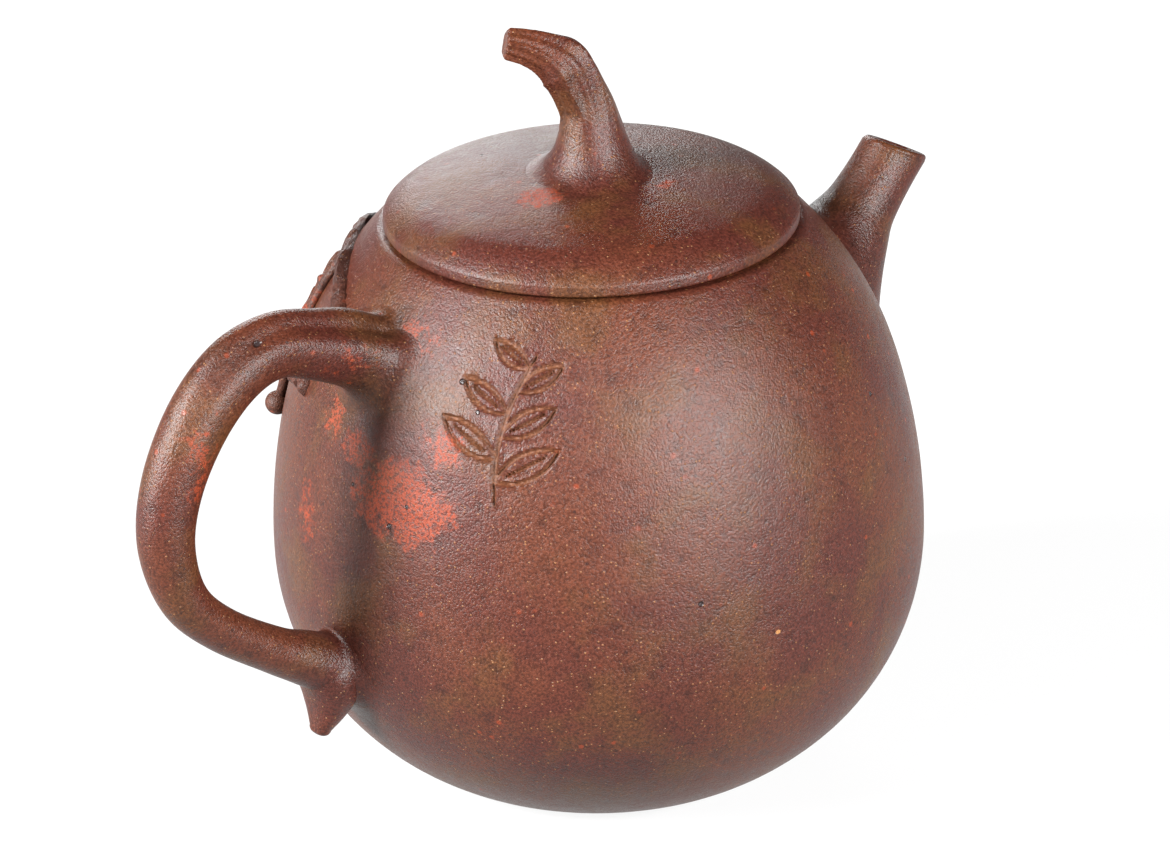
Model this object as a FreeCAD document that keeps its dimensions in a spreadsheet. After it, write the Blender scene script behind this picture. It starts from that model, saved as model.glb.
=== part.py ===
import FreeCAD, Part
import math
import os

import Sketcher
from FreeCAD import Placement, Rotation, Vector

# A hand-built round clay teapot in millimetres, +Z up, spout towards +X, handle towards -X.
# The origin is the centre of the flat foot. Azimuths turn about +Z from +X, in degrees.

DRIVING = {
    # pot wall, from the foot to the mouth; a drop is measured down from the rim
    "foot_radius": 18.6,
    "belly_radius": 42.3,
    "belly_height": 31.5,
    "side_arc_radius": 81.0,
    "shoulder_height": 55.7,
    "mouth_radius": 27.0,
    "rim_height": 74.7,
    "wall": 2.8,
    "seam_drop": 9.2,
    "mouth_ring_depth": 2.6,
    "mouth_bore_radius": 21.6,
    # lid
    "lid_clearance": 0.3,
    "lid_radius": 26.4,
    "lid_plate_thickness": 1.4,
    "lid_plate_bore_radius": 17.0,
    "lid_brow_radius": 21.0,
    "lid_brow_rise": 3.1,
    "lid_dome_rise": 5.2,
    "lid_wall": 2.2,
    "lid_hollow_radius": 19.5,
    "flange_wall": 2.1,
    "flange_depth": 9.0,
    "air_hole_radius": 0.9,
    "air_hole_offset": 10.5,
    "air_hole_azimuth": 53.0,
    # gourd stem on the lid
    "stem_azimuth": 150.0,
    "stem_root_radius": 6.2,
    "stem_waist_radius": 3.1,
    "stem_end_radius": 1.9,
    "stem_rise": 16.9,
    "stem_reach": 9.8,
    # spout, along its own axis; its root is where the axis meets the pot wall
    "spout_root_drop": 17.7,
    "spout_elevation": 49.0,
    "spout_cut_elevation": 65.0,
    "spout_length": 19.6,
    "spout_tip_radius": 4.0,
    "spout_neck_radius": 5.4,
    "spout_neck_length": 10.5,
    "spout_flare_radius": 9.5,
    "spout_bore_radius": 2.5,
    "spout_bore_length": 6.0,
    "spout_throat_radius": 5.0,
    # domed strainer behind the spout
    "strainer_radius": 8.0,
    "strainer_wall": 1.5,
    "strainer_hole_radius": 0.85,
    # handle, a round coil in the XZ plane
    "handle_depth": 23.3,
    "handle_top_drop": 3.5,
    "handle_upper_root_drop": 8.7,
    "handle_lower_root_height": 23.5,
    "handle_upper_radius": 4.1,
    "handle_lower_radius": 2.9,
    "handle_root_radius": 5.4,
    "spur_base_radius": 4.2,
    "spur_tip_radius": 1.2,
    "spur_base_height": 25.0,
    "spur_stand_out": 3.5,
    "spur_tip_height": 16.2,
    # applied gourd vine on the +Y side
    "vine_root_radius": 1.3,
    "vine_tip_radius": 0.8,
    "stalk_radius": 0.7,
    "leaf_thickness": 1.5,
    "leaf_length": 13.0,
    "bud_radius": 1.7,
    "gourd_radius": 3.4,
}
COIL_STATIONS = 14
BURIED = 3.0


def normal_at(point, centre):
    """The unit vector from centre to point, in the plane of the profile."""
    length = math.dist(point, centre)
    return ((point[0] - centre[0]) / length, (point[1] - centre[1]) / length)


def tangent_arc(start, start_normal, finish):
    """Radius and centre of the arc from start, with this outward normal there, to finish."""
    chord = (finish[0] - start[0], finish[1] - start[1])
    facing = -2 * (chord[0] * start_normal[0] + chord[1] * start_normal[1])
    radius = (chord[0] ** 2 + chord[1] ** 2) / facing
    return radius, (start[0] - radius * start_normal[0], start[1] - radius * start_normal[1])


def wall_sizes(size):
    """The three arcs of the pot's side, and the corners of the forms that follow it."""
    belly = (size["belly_radius"], size["belly_height"])
    foot = (size["foot_radius"], 0.0)
    mouth = (size["mouth_radius"], size["rim_height"])
    upright = (1.0, 0.0)
    lower_radius, lower_centre = tangent_arc(belly, upright, foot)
    side_radius = size["side_arc_radius"]
    side_centre = (belly[0] - side_radius, belly[1])
    lift = math.asin((size["shoulder_height"] - belly[1]) / side_radius)
    shoulder_normal = (math.cos(lift), math.sin(lift))
    shoulder = (side_centre[0] + side_radius * shoulder_normal[0], size["shoulder_height"])
    top_radius, top_centre = tangent_arc(shoulder, shoulder_normal, mouth)
    corners = {
        "foot": (foot, normal_at(foot, lower_centre)),
        "belly": (belly, upright),
        "shoulder": (shoulder, shoulder_normal),
        "mouth": (mouth, normal_at(mouth, top_centre)),
    }
    worked = {
        "lower_arc_radius": lower_radius,
        "top_arc_radius": top_radius,
        "top_centre_radius": top_centre[0],
        "top_centre_height": top_centre[1],
    }
    growths = {"outer": 0.0, "inner": -size["wall"], "relief": size["leaf_thickness"]}
    for form, grow in growths.items():
        for corner, (point, normal) in corners.items():
            worked[f"{form}_{corner}_radius"] = point[0] + grow * normal[0]
            worked[f"{form}_{corner}_height"] = point[1] + grow * normal[1]
    return worked


def lid_sizes(size):
    """The lid's heights, its two dome arcs, and the flange that drops into the mouth."""
    under = size["rim_height"] + size["lid_clearance"]
    edge_height = under + size["lid_plate_thickness"]
    brow = (size["lid_brow_radius"], edge_height + size["lid_brow_rise"])
    apex = edge_height + size["lid_dome_rise"]
    drop = apex - brow[1]
    crown_radius = (brow[0] ** 2 + drop ** 2) / (2 * drop)
    crown_height = apex - crown_radius
    brow_normal = normal_at(brow, (0.0, crown_height))
    _, brow_centre = tangent_arc(brow, brow_normal, (size["lid_radius"], edge_height))
    hollow = crown_radius - size["lid_wall"]
    return {
        "lid_under_height": under,
        "lid_edge_height": edge_height,
        "lid_brow_height": brow[1],
        "lid_apex_height": apex,
        "crown_centre_height": crown_height,
        "brow_centre_height": brow_centre[1],
        "hollow_apex_height": apex - size["lid_wall"],
        "hollow_side_height": crown_height + math.sqrt(hollow ** 2 - size["lid_hollow_radius"] ** 2),
        "flange_radius": size["mouth_bore_radius"] - size["lid_clearance"],
        "flange_foot_height": under - size["flange_depth"],
    }


def spout_sizes(size):
    """The spout's outline along its own axis, measured from the root."""
    neck = (size["spout_neck_radius"], size["spout_length"] - size["spout_neck_length"])
    taper = math.atan2(size["spout_neck_radius"] - size["spout_tip_radius"], size["spout_neck_length"])
    hollow_normal = (-math.cos(taper), -math.sin(taper))
    _, flare_centre = tangent_arc(neck, hollow_normal, (size["spout_flare_radius"], 0.0))
    lean = math.radians(size["spout_cut_elevation"] - size["spout_elevation"])
    return {
        "spout_blank_height": size["spout_length"] + size["spout_tip_radius"] * math.tan(lean),
        "spout_neck_height": neck[1],
        "flare_centre_height": flare_centre[1],
        "spout_back_height": -size["spout_flare_radius"],
        "spout_bore_height": size["spout_length"] - size["spout_bore_length"],
    }


def drop_sizes(size):
    """The heights of what hangs from the rim."""
    drops = ("seam", "spout_root", "handle_top", "handle_upper_root")
    return {f"{name}_height": size["rim_height"] - size[f"{name}_drop"] for name in drops}


SIZE = dict(DRIVING)
for worked_out in (wall_sizes, lid_sizes, spout_sizes, drop_sizes):
    SIZE.update(worked_out(DRIVING))

doc = FreeCAD.newDocument("teapot")
sheet = doc.addObject("Spreadsheet::Sheet", "sizes")
for row, (alias, value) in enumerate(SIZE.items(), start=1):
    sheet.set(f"A{row}", alias)
    sheet.set(f"B{row}", f"{value:.6f}")
    sheet.setAlias(f"B{row}", alias)
doc.recompute()
nodes = []


def cell(alias):
    """The value of the sheet's cell with this alias."""
    return float(getattr(sheet, alias))


def keep(feature, label):
    """Mark a feature as a finished piece of the teapot."""
    feature.Label = label
    nodes.append(feature)
    return feature


def hold(sketch, kind, edge, end, alias):
    """Hold a sketch point at a radius (DistanceX) or height (DistanceY) from the sheet."""
    if alias is None:
        axis = -2 if kind == "DistanceX" else -1
        sketch.addConstraint(Sketcher.Constraint("PointOnObject", edge, end, axis))
        return
    index = sketch.addConstraint(Sketcher.Constraint(kind, -1, 1, edge, end, cell(alias)))
    sketch.setExpression(f"Constraints[{index}]", f"sizes.{alias}")


def arc_between(start, finish, centre_height, turn):
    """The arc from start to finish with its centre at this height; turn 1 is anticlockwise."""
    middle = ((start[0] + finish[0]) / 2, (start[1] + finish[1]) / 2)
    run = (finish[0] - start[0], finish[1] - start[1])
    centre_radius = middle[0] - (centre_height - middle[1]) * run[1] / run[0]
    radius = math.dist(start, (centre_radius, centre_height))
    circle = Part.Circle(Vector(centre_radius, centre_height, 0), Vector(0, 0, 1), radius)
    angles = [math.atan2(p[1] - centre_height, p[0] - centre_radius) for p in (start, finish)]
    return Part.ArcOfCircle(circle, *(angles if turn > 0 else reversed(angles)))


def revolved(name, outline):
    """A PartDesign body made by turning a closed outline about its Z axis.

    Each entry is a corner (radius alias, height alias), with None for zero. An entry that
    goes on with (centre height alias, turn) starts an arc, and any other starts a line.
    """
    body = doc.addObject("PartDesign::Body", name)
    plane = [p for p in body.Origin.OriginFeatures if p.Role == "XZ_Plane"][0]
    sketch = body.newObject("Sketcher::SketchObject", name + "_outline")
    sketch.AttachmentSupport = (plane, [""])
    sketch.MapMode = "FlatFace"
    places = [tuple(0.0 if alias is None else cell(alias) for alias in entry[:2]) for entry in outline]
    ends = []
    for i, entry in enumerate(outline):
        start = places[i]
        finish = places[(i + 1) % len(places)]
        if len(entry) == 2:
            sketch.addGeometry(Part.LineSegment(Vector(*start, 0), Vector(*finish, 0)), False)
            ends.append((1, 2))
        else:
            sketch.addGeometry(arc_between(start, finish, cell(entry[2]), entry[3]), False)
            ends.append((1, 2) if entry[3] > 0 else (2, 1))
    for i, entry in enumerate(outline):
        following = (i + 1) % len(outline)
        sketch.addConstraint(
            Sketcher.Constraint("Coincident", i, ends[i][1], following, ends[following][0]))
        hold(sketch, "DistanceX", i, ends[i][0], entry[0])
        hold(sketch, "DistanceY", i, ends[i][0], entry[1])
        if len(entry) > 2:
            hold(sketch, "DistanceY", i, 3, entry[2])
    turned = body.newObject("PartDesign::Revolution", name + "_turned")
    turned.Profile = sketch
    turned.ReferenceAxis = (sketch, ["V_Axis"])
    turned.Angle = 360
    return body


def combine(kind, name, base, tool):
    """A Part::Cut, Part::Fuse or Part::Common of two features."""
    feature = doc.addObject(f"Part::{kind}", name)
    feature.Base = base
    feature.Tool = tool
    return feature


def cut_by(name, base, *tools):
    """The base with each tool taken away in turn."""
    for i, tool in enumerate(tools):
        base = combine("Cut", f"{name}_cut_{i + 1}", base, tool)
    return base


def cylinder(name, radius, low, high):
    """An upright cylinder on the Z axis between two heights, all three as expressions."""
    feature = doc.addObject("Part::Cylinder", name)
    feature.setExpression("Radius", radius)
    feature.setExpression("Height", f"{high} - ({low})")
    feature.setExpression("Placement.Base.z", low)
    return feature


def slab(name, low, high):
    """A cylinder that is wider than the pot, between two heights."""
    return cylinder(name, "2 * sizes.belly_radius", low, high)


def free_form(name, shape):
    """A feature that holds a shape built from the sheet's values."""
    feature = doc.addObject("Part::Feature", name)
    feature.Shape = shape
    return feature


def wall_radius(height):
    """The radius of the pot's outer side at a height."""
    if height < cell("shoulder_height"):
        part_of = "lower_arc_radius" if height < cell("belly_height") else "side_arc_radius"
        radius = cell(part_of)
        inset = cell("belly_radius") - radius
        return inset + math.sqrt(radius ** 2 - (height - cell("belly_height")) ** 2)
    rise = height - cell("top_centre_height")
    return cell("top_centre_radius") + math.sqrt(cell("top_arc_radius") ** 2 - rise ** 2)


def wall_normal(azimuth, height):
    """The outward normal of the pot's side at an azimuth and a height."""
    if height < cell("shoulder_height"):
        radius = cell("lower_arc_radius" if height < cell("belly_height") else "side_arc_radius")
        lift = (height - cell("belly_height")) / radius
    else:
        lift = (height - cell("top_centre_height")) / cell("top_arc_radius")
    level = math.sqrt(1 - lift ** 2)
    turn = math.radians(azimuth)
    return Vector(level * math.cos(turn), level * math.sin(turn), lift)


def wall_point(azimuth, height, lift=0.0):
    """The point on the pot's side at an azimuth and a height, lifted along the normal."""
    turn = math.radians(azimuth)
    radius = wall_radius(height)
    return Vector(radius * math.cos(turn), radius * math.sin(turn), height) + \
        wall_normal(azimuth, height) * lift


def coil(points, radii, side):
    """A round coil of clay through points, with radii spread evenly along it.

    side is a vector, or a function of a place, that is roughly square to the coil's run.
    """
    curve = Part.BSplineCurve()
    curve.interpolate(points)
    first, last = curve.FirstParameter, curve.LastParameter
    sections = []
    for i in range(COIL_STATIONS + 1):
        share = i / COIL_STATIONS
        here = first + (last - first) * share
        place = curve.value(here)
        along = curve.tangent(here)[0]
        across = side(place) if callable(side) else side
        across = (across - along * across.dot(along)).normalize()
        step = min(int(share * (len(radii) - 1)), len(radii) - 2)
        blend = share * (len(radii) - 1) - step
        radius = radii[step] * (1 - blend) + radii[step + 1] * blend
        ring = Part.Wire([Part.makeCircle(radius)])
        ring.Placement = Placement(place, Rotation(across, along.cross(across), along, "ZXY"))
        sections.append(ring)
    return Part.makeLoft(sections, True, False)


def outward(place):
    """The horizontal direction away from the pot's axis at a place."""
    return Vector(place.x, place.y, 0)


# ---- forms that the pieces are cut from and fitted to ----

def wall_form(form):
    """The solid inside one of the pot's side curves: outer, inner or relief."""
    return revolved(form + "_form", [
        (None, f"{form}_foot_height") if form != "outer" else (None, None),
        (f"{form}_foot_radius", f"{form}_foot_height" if form != "outer" else None, "belly_height", 1),
        (f"{form}_belly_radius", "belly_height", "belly_height", 1),
        (f"{form}_shoulder_radius", f"{form}_shoulder_height", "top_centre_height", 1),
        (f"{form}_mouth_radius", f"{form}_mouth_height"),
        (None, f"{form}_mouth_height"),
    ])


outer_form = wall_form("outer")
inner_form = wall_form("inner")
relief_form = wall_form("relief")
shell = combine("Cut", "shell", outer_form, inner_form)
lid_form = revolved("lid_form", [
    (None, "lid_edge_height"),
    ("lid_radius", "lid_edge_height", "brow_centre_height", 1),
    ("lid_brow_radius", "lid_brow_height", "crown_centre_height", 1),
    (None, "lid_apex_height"),
])
lid_hollow = revolved("lid_hollow", [
    (None, "lid_edge_height"),
    ("lid_hollow_radius", "lid_edge_height"),
    ("lid_hollow_radius", "hollow_side_height", "crown_centre_height", 1),
    (None, "hollow_apex_height"),
])


# ---- spout and strainer ----

def facing_sphere(name, radius, azimuth, height, lift):
    """A sphere near the pot's side, with its poles along the normal; radius is an expression."""
    ball = doc.addObject("Part::Sphere", name)
    ball.setExpression("Radius", radius)
    normal = wall_normal(azimuth, height)
    ball.Placement = Placement(wall_point(azimuth, height, lift), Rotation(Vector(0, 0, 1), normal))
    return ball


def spout_pieces():
    """The spout, its way through the wall, and the strainer dome behind it."""
    tilt = Rotation(Vector(0, 1, 0), 90 - cell("spout_elevation"))
    root = Placement(wall_point(0, cell("spout_root_height")), tilt)
    tube = revolved("spout_tube", [
        ("spout_throat_radius", "spout_back_height"),
        ("spout_flare_radius", "spout_back_height"),
        ("spout_flare_radius", None, "flare_centre_height", -1),
        ("spout_neck_radius", "spout_neck_height"),
        ("spout_tip_radius", "spout_blank_height"),
        ("spout_bore_radius", "spout_blank_height"),
        ("spout_bore_radius", "spout_bore_height"),
    ])
    tube.Placement = root
    mouth = root.multVec(Vector(0, 0, cell("spout_length")))
    above = doc.addObject("Part::Cylinder", "spout_cut")
    above.setExpression("Radius", "4 * sizes.spout_tip_radius")
    above.setExpression("Height", "2 * sizes.spout_tip_radius")
    above.Placement = Placement(mouth, Rotation(Vector(0, 1, 0), 90 - cell("spout_cut_elevation")))
    keep(cut_by("spout", tube, outer_form, above), "spout")

    throat = doc.addObject("Part::Cylinder", "throat")
    throat.setExpression("Radius", "sizes.spout_throat_radius")
    throat.setExpression("Height", "2 * sizes.spout_flare_radius")
    back = root.multVec(Vector(0, 0, -cell("spout_flare_radius")))
    throat.Placement = Placement(back, tilt)

    height = cell("spout_root_height")
    inward = wall_normal(0, height) * -1
    seat = wall_point(0, height, -cell("wall"))
    ball = facing_sphere("strainer_ball", "sizes.strainer_radius", 0, height, -cell("wall"))
    hollow = facing_sphere("strainer_hollow", "sizes.strainer_radius - sizes.strainer_wall",
                           0, height, -cell("wall"))
    dome = combine("Common", "strainer_dome", combine("Cut", "strainer_shell", ball, hollow), inner_form)
    pins = []
    for ring, count in ((0.0, 1), (26.0, 6), (50.0, 11)):
        for i in range(count):
            spin = Rotation(inward, 360.0 * i / count)
            lean = Rotation(Vector(0, 1, 0), ring)
            axis = spin.multVec(lean.multVec(inward))
            pins.append(Part.makeCylinder(
                cell("strainer_hole_radius"), cell("strainer_radius") + BURIED, seat, axis))
    pierced = combine("Cut", "strainer", dome, free_form("strainer_pins", Part.makeCompound(pins)))
    keep(pierced, "strainer")
    return throat


# ---- pot wall ----

def pot_pieces(throat):
    """The foot disc, the beaten wall, the shoulder disc and the ring round the mouth."""
    keep(combine("Common", "base_disc", outer_form,
                 slab("base_slab", "0", "sizes.inner_foot_height")), "base_disc")
    wall_band = combine("Common", "wall_band", shell,
                        slab("wall_slab", "sizes.inner_foot_height", "sizes.seam_height"))
    keep(combine("Cut", "body_wall", wall_band, throat), "body_wall")
    ring_low = "sizes.rim_height - sizes.mouth_ring_depth"
    keep(combine("Common", "shoulder_disc", shell,
                 slab("shoulder_slab", "sizes.seam_height", ring_low)), "shoulder_disc")
    ring_band = combine("Common", "ring_band", outer_form,
                        slab("ring_slab", ring_low, "sizes.rim_height"))
    mouth_bore = cylinder("mouth_bore", "sizes.mouth_bore_radius", "sizes.seam_height",
                          "sizes.lid_apex_height")
    keep(combine("Cut", "mouth_ring", ring_band, mouth_bore), "mouth_ring")


# ---- lid ----

def lid_pieces():
    """The dome with its air hole, the flat ring under it, the flange and the stem."""
    dome = combine("Cut", "dome_shell", lid_form, lid_hollow)
    vent = cylinder("air_hole", "sizes.air_hole_radius", "sizes.lid_edge_height",
                    "sizes.lid_apex_height")
    turn = math.radians(cell("air_hole_azimuth"))
    vent.Placement.Base.x = cell("air_hole_offset") * math.cos(turn)
    vent.Placement.Base.y = cell("air_hole_offset") * math.sin(turn)
    keep(combine("Cut", "lid_dome", dome, vent), "lid_dome")

    plate = cylinder("plate_blank", "sizes.lid_radius", "sizes.lid_under_height",
                     "sizes.lid_edge_height")
    plate_bore = cylinder("plate_bore", "sizes.lid_plate_bore_radius", "sizes.seam_height",
                          "sizes.lid_apex_height")
    keep(combine("Cut", "lid_plate", plate, plate_bore), "lid_plate")

    flange = cylinder("flange_blank", "sizes.flange_radius", "sizes.flange_foot_height",
                      "sizes.lid_under_height")
    flange_bore = cylinder("flange_bore", "sizes.flange_radius - sizes.flange_wall",
                           "sizes.flange_foot_height - sizes.flange_wall", "sizes.lid_apex_height")
    keep(combine("Cut", "lid_flange", flange, flange_bore), "lid_flange")

    turn = math.radians(cell("stem_azimuth"))
    lean = Vector(math.cos(turn), math.sin(turn), 0)
    apex = Vector(0, 0, cell("lid_apex_height"))
    rise = Vector(0, 0, cell("stem_rise"))
    reach = lean * cell("stem_reach")
    route = [apex - Vector(0, 0, cell("lid_wall") / 2), apex + rise * 0.25,
             apex + rise * 0.5 + reach * 0.03, apex + rise * 0.8 + reach * 0.35, apex + rise + reach]
    waist = cell("stem_waist_radius")
    radii = [cell("stem_root_radius"), waist * 1.3, waist, waist, waist * 0.8, cell("stem_end_radius")]
    stem = free_form("stem_coil", coil(route, radii, Vector(-lean.y, lean.x, 0)))
    keep(combine("Cut", "lid_stem", stem, lid_form), "lid_stem")


# ---- handle ----

def handle_pieces():
    """The round handle, cut to the wall at both roots, and the thorn under it."""
    upper = cell("handle_upper_root_height")
    lower = cell("handle_lower_root_height")
    near = cell("belly_radius")
    deep = cell("handle_depth")
    tall = cell("handle_top_height") - lower

    def bow(out_share, up_share):
        """A place on the bow, as shares of its depth and height beyond the belly."""
        return Vector(-near - deep * out_share, 0, lower + tall * up_share)

    upper_end = wall_point(180, upper, -BURIED)
    lower_end = wall_point(180, lower, -BURIED)
    route = [upper_end, bow(0.0, 0.95), bow(0.27, 1.0), bow(0.64, 0.915), bow(0.91, 0.73),
             bow(1.0, 0.53), bow(0.82, 0.315), bow(0.42, 0.155), lower_end]
    thick = cell("handle_upper_radius")
    thin = cell("handle_lower_radius")
    root = cell("handle_root_radius")
    radii = [root, thick, thick, thick * 0.96, thick * 0.9, thin * 1.15, thin, thin, root * 0.9]
    coil_shape = free_form("handle_coil", coil(route, radii, Vector(0, 1, 0)))
    keep(combine("Cut", "handle", coil_shape, outer_form), "handle")

    base = wall_point(180, cell("spur_base_height"))
    tip = Vector(base.x - cell("spur_stand_out"), 0, cell("spur_tip_height"))
    middle = (tip + base) * 0.5
    spur_route = [base, middle - Vector(0.4, 0, 0), tip]
    spur_radii = [cell("spur_base_radius"), cell("spur_base_radius") * 0.62, cell("spur_tip_radius")]
    thorn = free_form("spur_coil", coil(spur_route, spur_radii, Vector(0, 1, 0)))
    keep(cut_by("handle_spur", thorn, outer_form, coil_shape), "handle_spur")


# ---- applied gourd vine ----

def leaf_prism(name, azimuth, height, turn, length):
    """A five-lobed leaf blank standing square to the wall, long enough to cross it."""
    lobes = 60
    edge = []
    for i in range(lobes):
        angle = 2 * math.pi * i / lobes
        lobe = 0.86 + 0.14 * math.cos(5 * angle)
        edge.append(Vector(0.5 * length * lobe * math.cos(angle), 0.46 * length * lobe * math.sin(angle), 0))
    curve = Part.BSplineCurve()
    curve.interpolate(edge, PeriodicFlag=True)
    face = Part.Face(Part.Wire([curve.toShape()]))
    normal = wall_normal(azimuth, height)
    spin = Rotation(Vector(0, 0, 1), normal).multiply(Rotation(Vector(0, 0, 1), turn))
    face.Placement = Placement(wall_point(azimuth, height, -BURIED), spin)
    return free_form(name, face.extrude(normal * 3 * BURIED))


def vine_pieces():
    """The applied vine: its stem, leaves, stalk, bud and gourd on the +Y side."""
    rim = cell("rim_height")

    def route(*places):
        """Points over the wall, from (azimuth, drop below the rim, lift off the wall)."""
        return [wall_point(azimuth, rim - drop, lift) for azimuth, drop, lift in places]

    vine_route = route((163, 8.4, 0.5), (149, 5.4, 0.4), (134, 4.4, 0.3), (118, 5.2, 0.4),
                       (106, 9.4, 0.5), (98.5, 17.7, 0.6), (96.5, 26.8, 0.9))
    thick = cell("vine_root_radius")
    thin = cell("vine_tip_radius")
    vine = free_form("vine_coil", coil(vine_route, [thick, thick, thin, thin], outward))
    keep(cut_by("vine", vine, outer_form), "vine")

    bud = facing_sphere("bud_ball", "sizes.bud_radius", 137, rim - 26.7, 0.6 * cell("bud_radius"))
    keep(combine("Cut", "gourd_bud", bud, outer_form), "gourd_bud")

    lift = 0.45 * cell("gourd_radius")
    gourd_height = rim - 32.7
    belly = facing_sphere("gourd_belly", "sizes.gourd_radius", 96, gourd_height, lift)
    crown = facing_sphere("gourd_crown", "0.62 * sizes.gourd_radius", 96.5,
                          gourd_height + 1.25 * cell("gourd_radius"), lift)
    gourd = combine("Fuse", "gourd_blank", belly, crown)
    keep(cut_by("gourd", gourd, outer_form, vine), "gourd")

    stalk = cell("stalk_radius")
    stalk_route = route((141, 4.8, 0.4), (140, 10.7, 0.5), (139.5, 18.7, 0.5), (137.2, 25.3, 0.8))
    stalk_coil = free_form("stalk_coil", coil(stalk_route, [stalk, stalk], outward))
    keep(cut_by("bud_stalk", stalk_coil, outer_form, vine, bud), "bud_stalk")

    # the tendril starts against the underside of the vine
    tendril_route = route((113, 7.6, 0.4), (115, 13.7, 0.4), (113.5, 21.7, 0.4), (108, 24.2, 0.4),
                          (106, 20.2, 0.4), (109.5, 18.2, 0.4))
    tendril = free_form("tendril_coil", coil(tendril_route, [stalk, 0.6 * stalk], outward))
    keep(cut_by("tendril", tendril, outer_form), "tendril")

    relief = combine("Cut", "relief_shell", relief_form, outer_form)
    length = cell("leaf_length")
    leaves = ((129.5, 12.2, 40.0, 0.95 * length), (156, 15.0, 100.0, 0.75 * length),
              (87, 14.2, -30.0, length))
    for i, (azimuth, drop, turn, size) in enumerate(leaves, start=1):
        prism = leaf_prism(f"leaf_{i}_prism", azimuth, rim - drop, turn, size)
        blank = combine("Common", f"leaf_{i}_blank", relief, prism)
        keep(cut_by(f"leaf_{i}", blank, vine, stalk_coil, tendril), f"leaf_{i}")


throat = spout_pieces()
pot_pieces(throat)
lid_pieces()
handle_pieces()
vine_pieces()
doc.recompute()

for feature in doc.Objects:
    if "Invalid" in feature.State or "Error" in feature.State:
        raise RuntimeError(f"{feature.Name} failed: {feature.State}")
os.makedirs("parts", exist_ok=True)
for node in nodes:
    if node.Shape.isNull() or not node.Shape.isValid():
        raise RuntimeError(f"{node.Label} has no valid shape")
    pieces = len(node.Shape.Solids)
    print(f"{node.Label}: {pieces} solid, {node.Shape.Volume:.1f} mm3")
for node in nodes:
    node.Shape.exportStep(f"parts/{node.Label}.step")
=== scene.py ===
"""The looks of a hand-built clay teapot with a gourd-stem lid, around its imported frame."""

from __future__ import annotations

import logging
import math
from dataclasses import dataclass
from enum import Enum
from typing import Any, Callable, Iterable, Sequence

import bpy
import bmesh
import numpy as np
from mathutils import Matrix, Vector


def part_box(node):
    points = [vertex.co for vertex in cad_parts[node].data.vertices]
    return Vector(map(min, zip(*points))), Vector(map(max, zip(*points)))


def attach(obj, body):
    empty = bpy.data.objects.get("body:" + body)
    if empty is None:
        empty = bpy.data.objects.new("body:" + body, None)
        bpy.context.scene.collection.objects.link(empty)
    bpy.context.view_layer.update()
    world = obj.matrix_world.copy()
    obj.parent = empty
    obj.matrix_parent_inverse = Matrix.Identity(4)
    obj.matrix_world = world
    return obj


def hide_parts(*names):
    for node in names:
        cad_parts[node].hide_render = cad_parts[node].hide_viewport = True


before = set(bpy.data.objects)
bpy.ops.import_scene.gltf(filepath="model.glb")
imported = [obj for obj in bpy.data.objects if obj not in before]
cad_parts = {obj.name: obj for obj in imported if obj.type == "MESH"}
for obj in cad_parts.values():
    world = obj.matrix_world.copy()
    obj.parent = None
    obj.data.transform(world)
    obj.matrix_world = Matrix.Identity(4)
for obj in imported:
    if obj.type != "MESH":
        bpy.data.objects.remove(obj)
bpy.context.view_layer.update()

log = logging.getLogger("teapot")
MM = 0.001
TURN = 2.0 * math.pi
Point = tuple[float, float]
Triple = tuple[float, float, float]
Array = np.ndarray
Object = bpy.types.Object
Material = bpy.types.Material


class Part(Enum):
    """The CAD bodies that pieces ride on."""

    POT = "pot"
    CARRIER = "lid_carrier"
    LID = "lid"


class Slot(Enum):
    """The record's material slots."""

    POT = "pot_clay"
    LID = "lid_clay"
    COIL = "coil_clay"
    RELIEF = "relief_clay"
    INNER = "inner_clay"


# ---- node trees ----


def _operator(operation: str, swapped: bool = False) -> Callable[["Val", Any], "Val"]:
    """A method that adds one Math node on its own socket and another value."""

    def method(self: "Val", other: Any) -> "Val":
        """The Math node's result."""
        return self.tree.math(operation, *((other, self) if swapped else (self, other)))

    return method


class Val:
    """A socket that takes part in arithmetic by adding Math nodes to its tree."""

    def __init__(self, tree: "Tree", socket: bpy.types.NodeSocket) -> None:
        """Wrap a socket of a tree."""
        self.tree = tree
        self.socket = socket

    __add__ = _operator("ADD")
    __radd__ = __add__
    __sub__ = _operator("SUBTRACT")
    __rsub__ = _operator("SUBTRACT", swapped=True)
    __mul__ = _operator("MULTIPLY")
    __rmul__ = __mul__
    __truediv__ = _operator("DIVIDE")
    __rtruediv__ = _operator("DIVIDE", swapped=True)


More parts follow.
